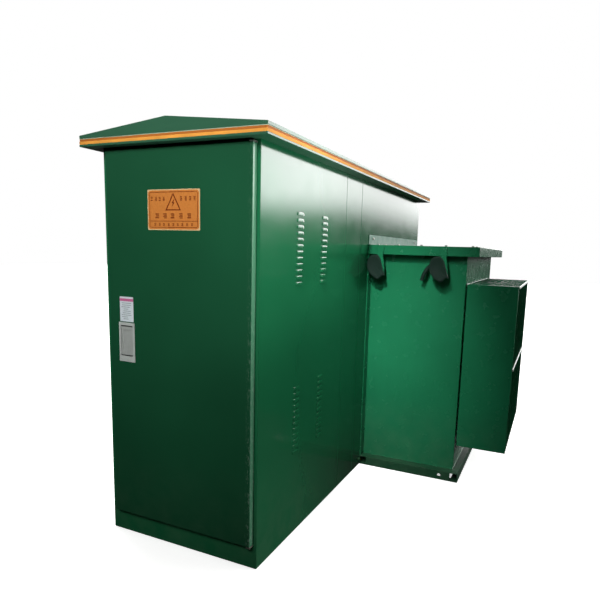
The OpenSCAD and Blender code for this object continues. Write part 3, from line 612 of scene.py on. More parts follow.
def rows_tree():
    """Copies a shape along a row and repeats the row, from named inputs."""
    if ROWS:
        return ROWS["tree"], ROWS["sockets"]
    tree = bpy.data.node_groups.new("rows_of_parts", "GeometryNodeTree")
    sockets = {}
    tree.interface.new_socket("Geometry", in_out="OUTPUT", socket_type="NodeSocketGeometry")
    for name, kind in (("Shape", "Object"), ("Start", "Vector"), ("Count", "Int"),
                       ("Pitch", "Vector"), ("Rows", "Int"), ("Row pitch", "Vector"),
                       ("Finish", "Material")):
        made = tree.interface.new_socket(name, in_out="INPUT", socket_type="NodeSocket" + kind)
        sockets[name] = made.identifier
    given = add(tree, "NodeGroupInput").outputs
    part = add(tree, "GeometryNodeObjectInfo", {"Object": given["Shape"]},
               transform_space="ORIGINAL").outputs["Geometry"]
    row = add(tree, "GeometryNodeMeshLine", {
        "Count": given["Count"], "Start Location": given["Start"], "Offset": given["Pitch"]})
    shift = add(tree, "GeometryNodeMeshLine", {
        "Count": given["Rows"], "Offset": given["Row pitch"]})
    line = add(tree, "GeometryNodeInstanceOnPoints", {
        "Points": row.outputs[0], "Instance": part}).outputs[0]
    grid = add(tree, "GeometryNodeInstanceOnPoints", {
        "Points": shift.outputs[0], "Instance": line}).outputs[0]
    real = add(tree, "GeometryNodeRealizeInstances", {"Geometry": grid}).outputs[0]
    painted = add(tree, "GeometryNodeSetMaterial", {
        "Geometry": real, "Material": given["Finish"]}).outputs[0]
    add(tree, "NodeGroupOutput", {0: painted})
    ROWS.update(tree=tree, sockets=sockets)
    return tree, sockets


def repeated(name, part, finish_name, start, count, pitch, rows=1, row_pitch=(0, 0, 0)):
    """A plain mesh of one part repeated in rows; places and pitches in millimetres."""
    tree, sockets = rows_tree()
    scene = bpy.context.scene.collection
    sample = bpy.data.objects.new(name + "_sample", part)
    carrier = bpy.data.objects.new(name + "_rows", bpy.data.meshes.new(name + "_rows"))
    scene.objects.link(sample)
    scene.objects.link(carrier)
    modifier = carrier.modifiers.new("Rows", "NODES")
    modifier.node_group = tree
    values = {"Shape": sample, "Start": Vector(start) * MM, "Count": count,
              "Pitch": Vector(pitch) * MM, "Rows": rows, "Row pitch": Vector(row_pitch) * MM,
              "Finish": finish(finish_name)}
    for key, value in values.items():
        modifier[sockets[key]] = value
    depsgraph = bpy.context.evaluated_depsgraph_get()
    depsgraph.update()
    mesh = bpy.data.meshes.new_from_object(carrier.evaluated_get(depsgraph))
    mesh.name = name
    carrier.modifiers.remove(modifier)
    bpy.data.objects.remove(carrier)
    bpy.data.objects.remove(sample)
    if not mesh.polygons:
        raise RuntimeError(f"nothing was repeated for {name}")
    return smooth(mesh)


# ---- pieces ----

def piece(name, made, body, slot, replaced=(), finishes=None, smooth_below=35):
    """Puts a mesh, or a Shape as a mesh, on its body in place of the CAD nodes it stands for."""
    mesh = made.mesh(name, smooth_below) if isinstance(made, Shape) else made
    obj = bpy.data.objects.new(name, mesh)
    bpy.context.scene.collection.objects.link(obj)
    numbers = [face.material_index for face in mesh.polygons]
    mesh.materials.clear()
    for finish_name in finishes or [slot]:
        mesh.materials.append(finish(finish_name))
    mesh.polygons.foreach_set("material_index", numbers)
    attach(obj, body)
    if replaced:
        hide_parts(*replaced)
    return obj


def rounded_piece(node, edge_mm, least_mm=12.0, segments=2, finishes=None):
    """A CAD node's shape with rounded edges and its finish, in the node's place."""
    mesh = rounded_copy(node, edge_mm, least_mm, segments)
    return piece(node + "_finished", mesh, BODY[node], SLOT[node], [node], finishes)


def repeated_piece(node, part, start, count, pitch, rows=1, row_pitch=(0, 0, 0)):
    """One part repeated in rows, with its node's finish, in the node's place."""
    name = node + "_finished"
    mesh = repeated(name, part, SLOT[node], start, count, pitch, rows, row_pitch)
    return piece(name, mesh, BODY[node], SLOT[node], [node])


def coat_node(node):
    """Gives a CAD node that shows as it is the finish of its slot."""
    mesh = frame["nodes"][node].data
    mesh.materials.clear()
    mesh.materials.append(finish(SLOT[node]))


def hex_bolt(size, axis, head=0.6, washer=True):
    """A hexagon head with its chamfer, washer and face, standing along an axis."""
    shape = Shape()
    rise = 0.0
    if washer:
        rise = size * 0.2
        shape.turned([(0, 0), (size * 1.0, 0), (size * 1.0, rise), (0, rise)], axis=axis, steps=16)
    top = rise + size * head
    shape.turned([(0, rise), (size * 0.92, rise), (size * 0.92, top - size * 0.1),
                  (size * 0.8, top), (0, top)], axis=axis, steps=6)
    return shape.mesh("hex_bolt", 20)


def door_shape(node):
    """A Shape in a door's own directions: from its hinge edge, outward from its skin, up."""
    low, high = box_mm(node)
    if node.startswith("end"):
        return Shape((high.x, high.y, 0), (0, -1, 0), (0, 0, 1), (1, 0, 0))
    if node.startswith("lv"):
        return Shape((high.x, low.y, 0), (-1, 0, 0), (0, 0, 1), (0, -1, 0))
    return Shape((low.x, low.y, 0), (1, 0, 0), (0, 0, 1), (0, -1, 0))


class MakeSkid(bpy.types.Operator):
    """Base skid with its earth stud"""
    bl_idname = "transformer.skid"
    bl_label = "Base skid"

    def execute(self, context):
        rounded_piece("skid_base", context.scene.transformer_sizes.plate_edge, 20)
        high = box_mm("back_panel_upper")[1]
        boss = Vector((-18, high.y + 1, 43))
        stud = Shape(boss, (1, 0, 0), (0, 0, 1), (0, 1, 0))
        stud.turned([(0, 0), (10.5, 0), (10.5, 1.6), (0, 1.6)], steps=24)
        stud.turned([(0, 1.6), (8.6, 1.6), (8.6, 7.0), (7.6, 8), (0, 8)], steps=6)
        stud.turned([(0, 8), (4.9, 8), (4.9, 14.5), (4.0, 15.5), (0, 15.5)], steps=16)
        piece("earth_stud", stud, "cabinet", "valve_brass", smooth_below=20)
        return {"FINISHED"}


class MakeCabinet(bpy.types.Operator):
    """Frames, walls, partitions and floor of the cabinet"""
    bl_idname = "transformer.cabinet"
    bl_label = "Cabinet walls"

    def execute(self, context):
        edge = context.scene.transformer_sizes.sheet_edge
        for node in ("end_frame", "front_frame", "front_panel", "far_wall",
                     "back_cover_strip", "back_panel_upper", "floor_plates",
                     "partition_hv", "partition_lv"):
            rounded_piece(node, edge)
        coat_node("door_pivots")
        return {"FINISHED"}


def pressed_louvre(sizes):
    """One louvre pressed out of the sheet: a hood that curves back into it at its ends and
    top, open along the bottom."""
    across, up, wall = 14, 6, 1.2
    shape = Shape()

    def surface(width, height, depth, shift):
        rows = []
        for j in range(up + 1):
            climb = math.pi / 2 * j / up
            row = []
            for i in range(across + 1):
                s = 2 * i / across - 1
                end = max(0.0, 1 - abs(s) ** 5) ** 0.5
                row.append(shape.bm.verts.new((
                    sizes.louvre_width / 2 + s * width / 2,
                    depth * end * max(0.0, math.cos(climb)) ** 0.2 + shift,
                    height * (0.62 + 0.38 * end) * math.sin(climb))))
            rows.append(row)
        return rows

    outer = surface(sizes.louvre_width, sizes.louvre_height, sizes.louvre_depth, 0)
    inner = surface(sizes.louvre_width - 2 * wall, sizes.louvre_height - wall,
                    sizes.louvre_depth - wall, -0.4)
    for grid in (outer, inner):
        shape.skin(grid, across + 1, 0, closed=False)
    left = [[row[0] for row in grid] for grid in (outer, inner)]
    right = [[row[-1] for row in grid] for grid in (outer, inner)]
    for pair in (left, right, [outer[0], inner[0]], [outer[-1], inner[-1]]):
        shape.skin(pair, len(pair[0]), 0, closed=False)
    bmesh.ops.remove_doubles(shape.bm, verts=shape.bm.verts, dist=1e-4)
    return shape.mesh("pressed_louvre")


def holed_sheet(low, high, holes, edge):
    """Upright sheet with rectangular openings, each (x0, x1, z0, z1)."""
    shape = Shape()
    xs = sorted({low.x, high.x, *(h[0] for h in holes), *(h[1] for h in holes)})
    zs = sorted({low.z, high.z, *(h[2] for h in holes), *(h[3] for h in holes)})
    verts = {}

    def corner(i, j, y):
        key = (i, j, y)
        if key not in verts:
            verts[key] = shape.bm.verts.new((xs[i], y, zs[j]))
        return verts[key]

    def solid(i, j):
        if not (0 <= i < len(xs) - 1 and 0 <= j < len(zs) - 1):
            return False
        x, z = (xs[i] + xs[i + 1]) / 2, (zs[j] + zs[j + 1]) / 2
        return not any(h[0] < x < h[1] and h[2] < z < h[3] for h in holes)

    sides = (((-1, 0), (0, 0), (0, 1)), ((1, 0), (1, 0), (1, 1)),
             ((0, -1), (0, 0), (1, 0)), ((0, 1), (0, 1), (1, 1)))
    for i in range(len(xs) - 1):
        for j in range(len(zs) - 1):
            if not solid(i, j):
                continue
            for y in (low.y, high.y):
                shape.bm.faces.new([corner(i, j, y), corner(i + 1, j, y),
                                    corner(i + 1, j + 1, y), corner(i, j + 1, y)])
            for step, a, b in sides:
                if not solid(i + step[0], j + step[1]):
                    shape.bm.faces.new([corner(i + a[0], j + a[1], low.y),
                                        corner(i + b[0], j + b[1], low.y),
                                        corner(i + b[0], j + b[1], high.y),
                                        corner(i + a[0], j + a[1], high.y)])
    rim = [e for e in shape.bm.edges if all(v.co.y == high.y for v in e.verts)
           and any(all(v.co.x == x for v in e.verts) for x in (low.x, high.x))]
    bmesh.ops.bevel(shape.bm, geom=rim, offset=edge, segments=2, profile=0.5, affect="EDGES")
    return shape.mesh("holed_sheet")


class MakeLouvredPanel(bpy.types.Operator):
    """Back panel with its four columns of pressed louvres"""
    bl_idname = "transformer.louvred_panel"
    bl_label = "Louvred panel"

    def execute(self, context):
        sizes = context.scene.transformer_sizes
        low, high = box_mm("back_panel_louvred")
        high.y = box_mm("back_cover_strip")[1].y
        near = high.x - sizes.louvre_near - sizes.louvre_width
        starts = [Vector((near - k * sizes.louvre_gap, high.y, z))
                  for k in (0, 1) for z in (sizes.louvre_high, sizes.louvre_low)]
        inset, slot_low, slot_high = 5, 3, 12
        holes = [(p.x + inset, p.x + sizes.louvre_width - inset,
                  p.z + slot_low + k * sizes.louvre_pitch,
                  p.z + slot_high + k * sizes.louvre_pitch)
                 for p in starts for k in range(sizes.louvre_count)]
        sheet = holed_sheet(low, high, holes, sizes.sheet_edge)
        piece("louvred_panel_sheet", sheet, "cabinet", "cabinet_paint", ["back_panel_louvred"])
        hood = pressed_louvre(sizes)
        rise = sizes.louvre_high - sizes.louvre_low
        columns = [repeated("louvre_column", hood, "cabinet_paint",
                            Vector((near - k * sizes.louvre_gap, high.y - 0.2,
                                    sizes.louvre_low)),
                            sizes.louvre_count, (0, 0, sizes.louvre_pitch), 2, (0, 0, rise))
                   for k in (0, 1)]
        piece("louvres", joined("louvres", *columns), "cabinet", "cabinet_paint")
        return {"FINISHED"}


class MakeRoof(bpy.types.Operator):
    """Gabled roof and the striped band in its edge"""
    bl_idname = "transformer.roof"
    bl_label = "Roof"

    def execute(self, context):
        edge = context.scene.transformer_sizes.plate_edge
        rounded_piece("roof", edge, finishes=["roof_paint"])
        low, high = box_mm("roof_band")
        span = high.z - low.z
        shape = Shape()
        levels = (0.0, 0.48, 0.52, 0.88, 0.92, 1.0)
        depths = (0.5, 0.0, 1.2, 1.2, 0.3, 0.6)
        loops = [[Vector((x, y, low.z + 0.2)) for x, y in self.corners(low, high, 3.0)]]
        for level, depth in zip(levels, depths):
            height = low.z + 0.2 + (span - 0.4) * level
            loops.append([Vector((x, y, height)) for x, y in self.corners(low, high, depth)])
        loops.append([Vector((x, y, high.z - 0.2)) for x, y in self.corners(low, high, 3.0)])
        rings = [[shape.bm.verts.new(p) for p in loop] for loop in loops]
        shape.skin([*rings, rings[0]], 4, 0)
        piece("roof_band_stripes", shape, "cabinet", "orange_band", ["roof_band"],
              smooth_below=20)
        return {"FINISHED"}

    @staticmethod
    def corners(low, high, inset):
        """The band's four corners, moved in by inset."""
        return ((low.x + inset, low.y + inset), (high.x - inset, low.y + inset),
                (high.x - inset, high.y - inset), (low.x + inset, high.y - inset))


class MakeDoors(bpy.types.Operator):
    """The three doors with their seals and latch rods"""
    bl_idname = "transformer.doors"
    bl_label = "Doors"

    def execute(self, context):
        for door in DOORS:
            rounded_piece(door, 1.4, 30)
            coat_node(door + "_seal")
            for rod in ("_rod_up", "_rod_down"):
                rounded_piece(door + rod, 0.8)
        return {"FINISHED"}


class MakeLocks(bpy.types.Operator):
    """Flush locks: dished plates with screws and key barrels, and their pull paddles"""
    bl_idname = "transformer.locks"
    bl_label = "Locks"

    def execute(self, context):
        for door in DOORS:
            lock, paddle = door + "_lock", door + "_paddle"
            rounded_piece(lock, 0.7, 8)
            rounded_piece(paddle, 1.2, 8, finishes=["paddle_steel"])
            self.trim(door, lock, paddle)
        return {"FINISHED"}

    def trim(self, door, lock, paddle):
        """Screws at the plate's corners, the key's cover below the dish with a black bar of
        painted shade in its keyway, and black strips of painted shade in the gaps above and
        below the paddle."""
        shape = door_shape(door)
        low, high = box_mm(lock)
        along = shape.turn.to_3x3().inverted() @ ((low + high) / 2 - shape.turn.translation)
        wide = 97.0
        for right in (-1, 1):
            for z in (low.z + 8, high.z - 6):
                at = (along.x + right * (wide / 2 - 7), z, 1.8)
                shape.turned([(0, 0), (3.4, 0), (3.2, 1.0), (1.6, 1.5), (1.4, 0.9), (0, 0.9)],
                             at, steps=12)
        barrel = (along.x, low.z + 14, 1.9)
        shape.turned([(0, 0), (10.5, 0), (10.5, 0.9), (8.6, 1.3), (0, 1.3)], barrel, steps=28)
        # A black bar across the barrel: painted shade standing for the keyway's depth.
        key_wide, key_tall = 1.1, 4.2
        shape.block((barrel[0] - key_wide, barrel[1] - key_tall, 1.5),
                    (barrel[0] + key_wide, barrel[1] + key_tall, 3.6), 0.3, slot=1)
        grip_low, grip_high = box_mm(paddle)
        reach = 35.0
        # Black strips above and below the paddle: painted shade in the gaps round it.
        gap_shade_strips = ((grip_low.z - 4.0, grip_low.z - 0.6), (grip_high.z + 0.6, grip_high.z + 3.4))
        for bottom, top in gap_shade_strips:
            shape.block((along.x - reach, bottom, 1.75), (along.x + reach, top, 2.4), slot=1)
        piece(door + "_lock_trim", shape, door, "stainless",
              finishes=["stainless", "dial_ink"])


class MakePlates(bpy.types.Operator):
    """Warning plate with its triangle and bars, and the paper label above the lock"""
    bl_idname = "transformer.plates"
    bl_label = "Plates"

    def execute(self, context):
        self.warning_plate()
        self.label()
        return {"FINISHED"}

    def warning_plate(self):
        low, high = box_mm("warning_plate")
        wide, tall = high.y - low.y, high.z - low.z
        shape = Shape((low.x, low.y, low.z), (0, 1, 0), (0, 0, 1), (1, 0, 0))
        shape.prism(round_outline((0, 0), (wide, tall), 5), 0.05, 1.0, 0.3, 0)
        shape.prism(round_outline((4, 4), (wide - 4, tall - 4), 14), 0.9, 1.25, 0, 1)
        line_out = round_outline((11, 11), (wide - 11, tall - 11), 10)
        line_in = round_outline((13.5, 13.5), (wide - 13.5, tall - 13.5), 7.5)
        shape.frame_line(line_out, line_in, 1.2, 1.42, 2)
        middle = wide / 2
        outer = [(middle - 43, 86), (middle + 43, 86), (middle, 163)]
        inner = [(middle - 34, 91), (middle + 34, 91), (middle, 152)]
        shape.frame_line(outer, inner, 1.2, 1.42, 2)
        bolt = [(5, 135), (-9, 118), (-1, 118), (-7, 100), (8, 121), (0, 121), (9, 135)]
        shape.prism([(middle + x, y) for x, y in reversed(bolt)], 1.2, 1.42, 0, 2)
        shape.block((14, 38.5, 1.2), (wide - 14, 41, 1.42), slot=2)
        rows = (
            ([24, 48, 70, 92, 188, 213, 237, 260], 127, 147, 11),
            ([55, 98, 140, 186, 231], 50, 74, 20),
            ([42, 67, 92, 118, 144, 168, 193, 219, 246], 18, 31, 11),
        )
        for centres, bottom, top, width in rows:
            for number, centre in enumerate(centres):
                self.bars(shape, centre, bottom, top, width, number)
        piece("warning_plate_printed", shape, "end_door", "orange_plate", ["warning_plate"],
              ["plate_rim", "orange_plate", "plate_ink"])

    @staticmethod
    def bars(shape, centre, bottom, top, width, number):
        """Short bars stacked in a small block, which stand for a printed mark."""
        count = 3 + number % 2
        pitch = (top - bottom) / count
        for k in range(count):
            y = bottom + (k + 0.25) * pitch
            trim_left = width * 0.18 * ((number + k) % 2)
            shape.block((centre - width / 2 + trim_left, y, 1.2),
                        (centre + width / 2, y + pitch * 0.62, 1.4), slot=2)

    def label(self):
        """A film label with a coloured band and grey lines that stand for print."""
        lock_low, lock_high = box_mm("end_door_lock")
        door_high = box_mm("end_door")[1]
        wide, tall = 83.0, 119.0
        shape = Shape((door_high.x, (lock_low.y + lock_high.y) / 2 - wide / 2 + 2,
                       lock_high.z + 5), (0, 1, 0), (0, 0, 1), (1, 0, 0))
        shape.prism(round_outline((0, 0), (wide, tall), 2), 0.02, 0.35, 0, 0)
        shape.block((0.5, tall - 22, 0.3), (wide - 0.5, tall - 9, 0.5), slot=1)
        marks = random.Random(4)
        for k in range(9):
            y = tall - 32 - k * 9.5
            start = 8 + marks.uniform(0, 16)
            end = wide - 10 - marks.uniform(0, 26)
            shape.block((start, y, 0.3), (end, y + 3.0, 0.46), slot=2)
        piece("door_label", shape, "end_door", "orange_plate",
              finishes=["label_film", "label_band", "label_ink"])


class MakeTank(bpy.types.Operator):
    """Oil tank, lid, its bolts and the flashing above it"""
    bl_idname = "transformer.tank"
    bl_label = "Tank and lid"

    def execute(self, context):
        sizes = context.scene.transformer_sizes
        rounded_piece("tank", 2.5, 30)
        rounded_piece("tank_lid", 2.2, 30)
        rounded_piece("flashing_plate", 1.6, 6, finishes=["flashing_zinc"])
        coat_node("lid_gasket")
        self.bolts(sizes)
        self.welds(sizes)
        return {"FINISHED"}

    def bolts(self, sizes):
        """Hexagon bolts round the lid, and two on the flashing."""
        tank_high = box_mm("tank")[1]
        lid_low, lid_high = box_mm("tank_lid")
        flash_low, flash_high = box_mm("flashing_plate")
        tank_x0, tank_x1 = lid_low.x + LID_REACH, lid_high.x - LID_REACH
        corner_gap, long_count, short_count = 40.0, 8, 3
        long_pitch = (tank_x1 - tank_x0 - 2 * corner_gap) / (long_count - 1)
        front, back = lid_low.y + 33, tank_high.y - 25
        short_pitch = (back - front) / (short_count + 1)
        side_low, side_high = tank_x0 - 25, tank_x1 + 25
        meshes = []
        for up, level in ((1, lid_high.z), (-1, tank_high.z - 10)):
            bolt = hex_bolt(sizes.bolt_washer, (0, 0, up), 0.55)
            meshes.append(repeated("lid_bolts_long", bolt, "zinc_plate",
                                   (tank_x0 + corner_gap, front, level), long_count,
                                   (long_pitch, 0, 0), 2, (0, back - front, 0)))
            meshes.append(repeated("lid_bolts_short", bolt, "zinc_plate",
                                   (side_low, front + short_pitch, level), short_count,
                                   (0, short_pitch, 0), 2, (side_high - side_low, 0, 0)))
        flash_bolt = hex_bolt(8.0, (0, 1, 0), 0.6)
        flash_near, flash_apart = -120, -1114
        meshes.append(repeated("flashing_bolts", flash_bolt, "zinc_plate",
                               (flash_near, flash_low.y + 4, flash_high.z - 24), 2,
                               (flash_apart, 0, 0)))
        piece("cover_bolts_finished", joined("cover_bolts_finished", *meshes), "cabinet",
              "zinc_plate", ["cover_bolts"])

    def welds(self, sizes):
        """Beads up the tank's corners and under its flange."""
        low, high = box_mm("tank")
        lid_low, lid_high = box_mm("tank_lid")
        side, back = lid_high.x - LID_REACH, high.y - 50
        far = lid_low.x + LID_REACH
        foot, top = low.z + 4, high.z - 12
        r = sizes.bead_radius
        shape = Shape()
        shape.bead((side, back, foot), (side, back, top), r)
        shape.bead((far, back, foot), (far, back, top), r)
        shape.bead((side, low.y + 8, foot + 60), (side, low.y + 8, top - 50), r)
        shape.bead((side + 1, low.y + 12, top), (side + 1, back, top), r)
        shape.bead((far, back + 1, top), (side, back + 1, top), r)
        shape.bead((side, low.y + 12, low.z + 1), (side, back, low.z + 1), r)
        shape.bead((far, back, low.z + 1), (side, back, low.z + 1), r)
        piece("tank_weld_beads", shape, "cabinet", "tank_paint", smooth_below=60)


class MakeHooks(bpy.types.Operator):
    """Lifting hooks, the bent finger beside them and the lid's brackets"""
    bl_idname = "transformer.hooks"
    bl_label = "Lifting hooks"

    def execute(self, context):
        front = box_mm("lifting_hooks")[1].x
        wall = box_mm("tank_lid")[1].x - LID_REACH
        shape = Shape((0, 0, 0), (0, 1, 0), (0, 0, 1), (1, 0, 0))
        near_cabinet, near_radiator, centre_up = 50.0, 459.0, 1380.0
        for y in (near_cabinet, near_radiator):
            self.hook(shape, y, centre_up, wall, front)
        self.finger(shape, near_radiator - 61, centre_up + 18, wall)
        piece("lifting_hooks_finished", shape, "cabinet", "hook_paint", ["lifting_hooks"],
              smooth_below=40)
        rounded_piece("hook_brackets", context.scene.transformer_sizes.plate_edge, 5)
        return {"FINISHED"}

    def hook(self, shape, y, z, wall, front):
        """A stub with a dished end plate that leans outward to a lip at its foot."""
        corners = ((-36, 62), (-8, 72), (14, 70), (32, 48), (44, 12), (56, -26), (67, -57),
                   (50, -61), (38, -74), (22, -85), (-2, -76), (-26, -58), (-46, -32),
                   (-56, 0), (-52, 34))
        outline = spline(corners, 4)
        count = len(outline)
        rings = [[shape.bm.verts.new((y, z, front - 12))]]
        for inset, depth in ((0.0, 12), (0.0, 3), (0.05, 0.5), (0.14, 0), (0.26, 3), (0.95, 4)):
            rings.append([shape.bm.verts.new((y + a * (1 - inset), z + b * (1 - inset),
                                              front - depth)) for a, b in outline])
        rings.append([shape.bm.verts.new((y, z, front - 4.0))])
        shape.skin(rings, count, 0)
        shape.turned([(0, 0), (26, 0), (26, front - wall - 11), (0, front - wall - 11)],
                     (y, z, wall), (0, 0, 1), 28)
        shape.turned([(0, 0), (31, 0), (31, 3), (26, 7), (0, 7)], (y, z, wall), (0, 0, 1), 28)

    def finger(self, shape, y, z, wall):
        """A bar that leaves the tank at y, z and bends down beside the hook."""
        start = Vector((y, z, wall - 4))
        drift, drop, reach, steps = -48, -96, 56, 12
        points = []
        for k in range(steps + 1):
            t = k / steps
            out = reach * math.sin(min(1.0, t * 1.6) * math.pi / 2)
            points.append(start + Vector((drift * t, -4 + drop * t ** 1.4, out)))
        shape.tube(points, 13.0, 14, 0, lambda i: 1.0 if i < steps - 1 else 0.92)


class MakeRadiators(bpy.types.Operator):
    """Radiator bank: fluted panels between two plain ones, headers and braces"""
    bl_idname = "transformer.radiators"
    bl_label = "Radiators"

    def execute(self, context):
        sizes = context.scene.transformer_sizes
        low, high = box_mm("radiator_panels")
        thick = 10.0
        pitch = (high.x - low.x - thick) / (sizes.panel_count - 1)
        fluted = self.fluted_panel(low, high, thick, sizes.flute_count)
        bank = repeated("fluted_panels", fluted, "tank_paint", (low.x + pitch, 0, 0),
                        sizes.panel_count - 2, (pitch, 0, 0))
        plain = Shape()
        for x in (low.x, high.x - thick):
            plain.block((x, low.y, low.z), (x + thick, high.y, high.z), 3.0)
        mesh = joined("radiator_panels_finished", bank, plain.mesh("plain_panels"))
        piece("radiator_panels_finished", mesh, "cabinet", "tank_paint", ["radiator_panels"])
        rounded_piece("radiator_headers", 1.0, 60)
        rounded_piece("radiator_braces", 1.2, 5, finishes=["brace_zinc"])
        return {"FINISHED"}

    @staticmethod
    def fluted_panel(low, high, thick, flutes):
        """Two pressed sheets seamed round the edge, with upright oil channels."""
        shape = Shape()
        seam = 1.6
        per = 6
        columns = flutes * per
        border = 12.0
        ys = [low.y] + [low.y + border + (high.y - low.y - 2 * border) * i / columns
                        for i in range(columns + 1)] + [high.y]
        tall = high.z - low.z
        zs = [low.z, low.z + 0.02 * tall, low.z + 0.06 * tall, high.z - 0.06 * tall,
              high.z - 0.02 * tall, high.z]
        fade = [0.0, 0.0, 1.0, 1.0, 0.0, 0.0]
        sides = []
        for side in (-1, 1):
            rows = []
            for z, full in zip(zs, fade):
                row = []
                for i, y in enumerate(ys):
                    wave = abs(math.sin(math.pi * (i - 1) / per)) ** 0.6 if 0 < i <= columns else 0
                    half = seam / 2 + (thick / 2 - seam / 2) * wave * full
                    row.append(shape.bm.verts.new((thick / 2 + side * half, y, z)))
                rows.append(row)
            shape.skin(rows, len(ys), 0, closed=False)
            sides.append(rows)
        first, second = sides
        rims = ([first[0], second[0]], [first[-1], second[-1]],
                [[row[0] for row in first], [row[0] for row in second]],
                [[row[-1] for row in first], [row[-1] for row in second]])
        for rim in rims:
            shape.skin(rim, len(rim[0]), 0, closed=False)
        return shape.mesh("fluted_panel", 50)


class MakeHighVoltage(bpy.types.Operator):
    """Bushings, fuses, switch handle, tap changer, gauges and valve of the high voltage bay"""
    bl_idname = "transformer.high_voltage"
    bl_label = "High voltage fittings"

    def execute(self, context):
        self.bushings()
        self.fuses()
        self.gauges()
        self.switches()
        self.valve()
        return {"FINISHED"}

    @staticmethod
    def bushings():
        low, high = box_mm("hv_bushings")
        part = Shape()
        flange, inside, pitch = 58, -60, 190
        profile = [(0, inside), (20, inside), (34, -10), (41, 0), (41, 8), (flange, 8),
                   (flange, 20), (46, 23)]
        for k in range(4):
            base = 26 + k * 23
            profile += [(36 - k * 2, base), (52 - k * 3, base + 9), (51 - k * 3, base + 12),
                        (35 - k * 2, base + 17)]
        profile += [(26, 122), (18, 126), (18, 192), (15, 198), (0, 198)]
        part.turned(profile, (0, high.y, 0), (0, -1, 0), 36)
        repeated_piece("hv_bushings", part.mesh("hv_bushing"),
                       (low.x + flange, inside, (low.z + high.z) / 2), 3, (pitch, 0, 0))

    @staticmethod
    def fuses():
        low, high = box_mm("fuse_holders")
        part = Shape()
        flange, inside, pitch = 40, -90, 130
        part.turned([(0, inside), (22, inside), (22, -4), (29, 0), (29, 8), (flange, 8),
                     (flange, 15), (37, 18), (26, 18), (26, 74), (23, 78), (14, 80), (14, 102),
                     (12, 104), (0, 104)], (0, high.y, 0), (0, -1, 0), 30)
        part.turned([(12, 84), (19, 84), (19, 90), (12, 90), (12, 84)], (0, high.y, 0),
                    (0, -1, 0), 30)
        repeated_piece("fuse_holders", part.mesh("fuse_holder"),
                       (low.x + flange, inside, (low.z + high.z) / 2), 3, (pitch, 0, 0))

    @staticmethod
    def gauges():
        low, high = box_mm("gauges")
        shape = Shape((0, high.y, 0), (1, 0, 0), (0, 0, 1), (0, -1, 0))
        z = (low.z + high.z) / 2
        for x, radius, needle in ((low.x + 48, 48, 220), (low.x + 178, 48, 160),
                                  (low.x + 308, 34, 110)):
            shape.turned([(0, 0), (radius * 0.4, 0), (radius * 0.4, 20), (radius * 0.92, 21),
                          (radius, 25), (radius, 50), (radius * 0.96, 53.5), (radius * 0.88, 53.5),
                          (radius * 0.86, 49), (0, 49)], (x, z, 0), steps=40)
            shape.turned([(0, 49), (radius * 0.84, 49), (radius * 0.84, 49.8), (0, 49.8)],
                         (x, z, 0), steps=40, slot=1)
            for k in range(11):
                tip = round_point(radius * 0.76, 225 - k * 27, (x, z), 50.0)
                foot = tip.lerp(Vector((x, z, 50.0)), 0.2)
                shape.tube([foot, tip], radius * 0.018, 4, 2)
            shape.tube([(x, z, 50.6), round_point(radius * 0.66, needle, (x, z), 50.6)],
                       radius * 0.028, 6, 3)
            shape.turned([(0, 49.8), (radius * 0.09, 49.8), (radius * 0.07, 52), (0, 52)],
                         (x, z, 0), steps=14, slot=2)
        piece("gauges_finished", shape, "cabinet", "gauge_enamel", ["gauges"],
              ["stainless", "gauge_enamel", "dial_ink", "red_paint"])

    @staticmethod
    def switches():
        rounded_piece("load_switch_handle", 1.5, 8)
        rounded_piece("tap_changer_knob", 1.5, 8)
        wall = box_mm("tank")[0].y
        for node, radius, marks, step in (("load_switch_handle", 52, 2, 90),
                                          ("tap_changer_knob", 56, 5, 36)):
            middle = sum(box_mm(node), Vector()) / 2
            shape = Shape((middle.x, wall - 0.05, middle.z), (1, 0, 0), (0, 0, 1), (0, -1, 0))
            shape.turned([(40, 0), (radius + 12, 0), (radius + 12, 0.9), (40, 0.9), (40, 0)],
                         steps=40)
            for k in range(marks):
                tip = round_point(radius + 8, 90 - (k - (marks - 1) / 2) * step, out=0.9)
                shape.tube([tip * 0.86, tip], 1.6, 6, 1)
            piece(node + "_dial", shape, "cabinet", "gauge_enamel",
                  finishes=["gauge_enamel", "dial_ink"])

    @staticmethod
    def valve():
        rounded_piece("drain_valve", 1.0, 25)
        rounded_piece("drain_lever", 1.2, 4)


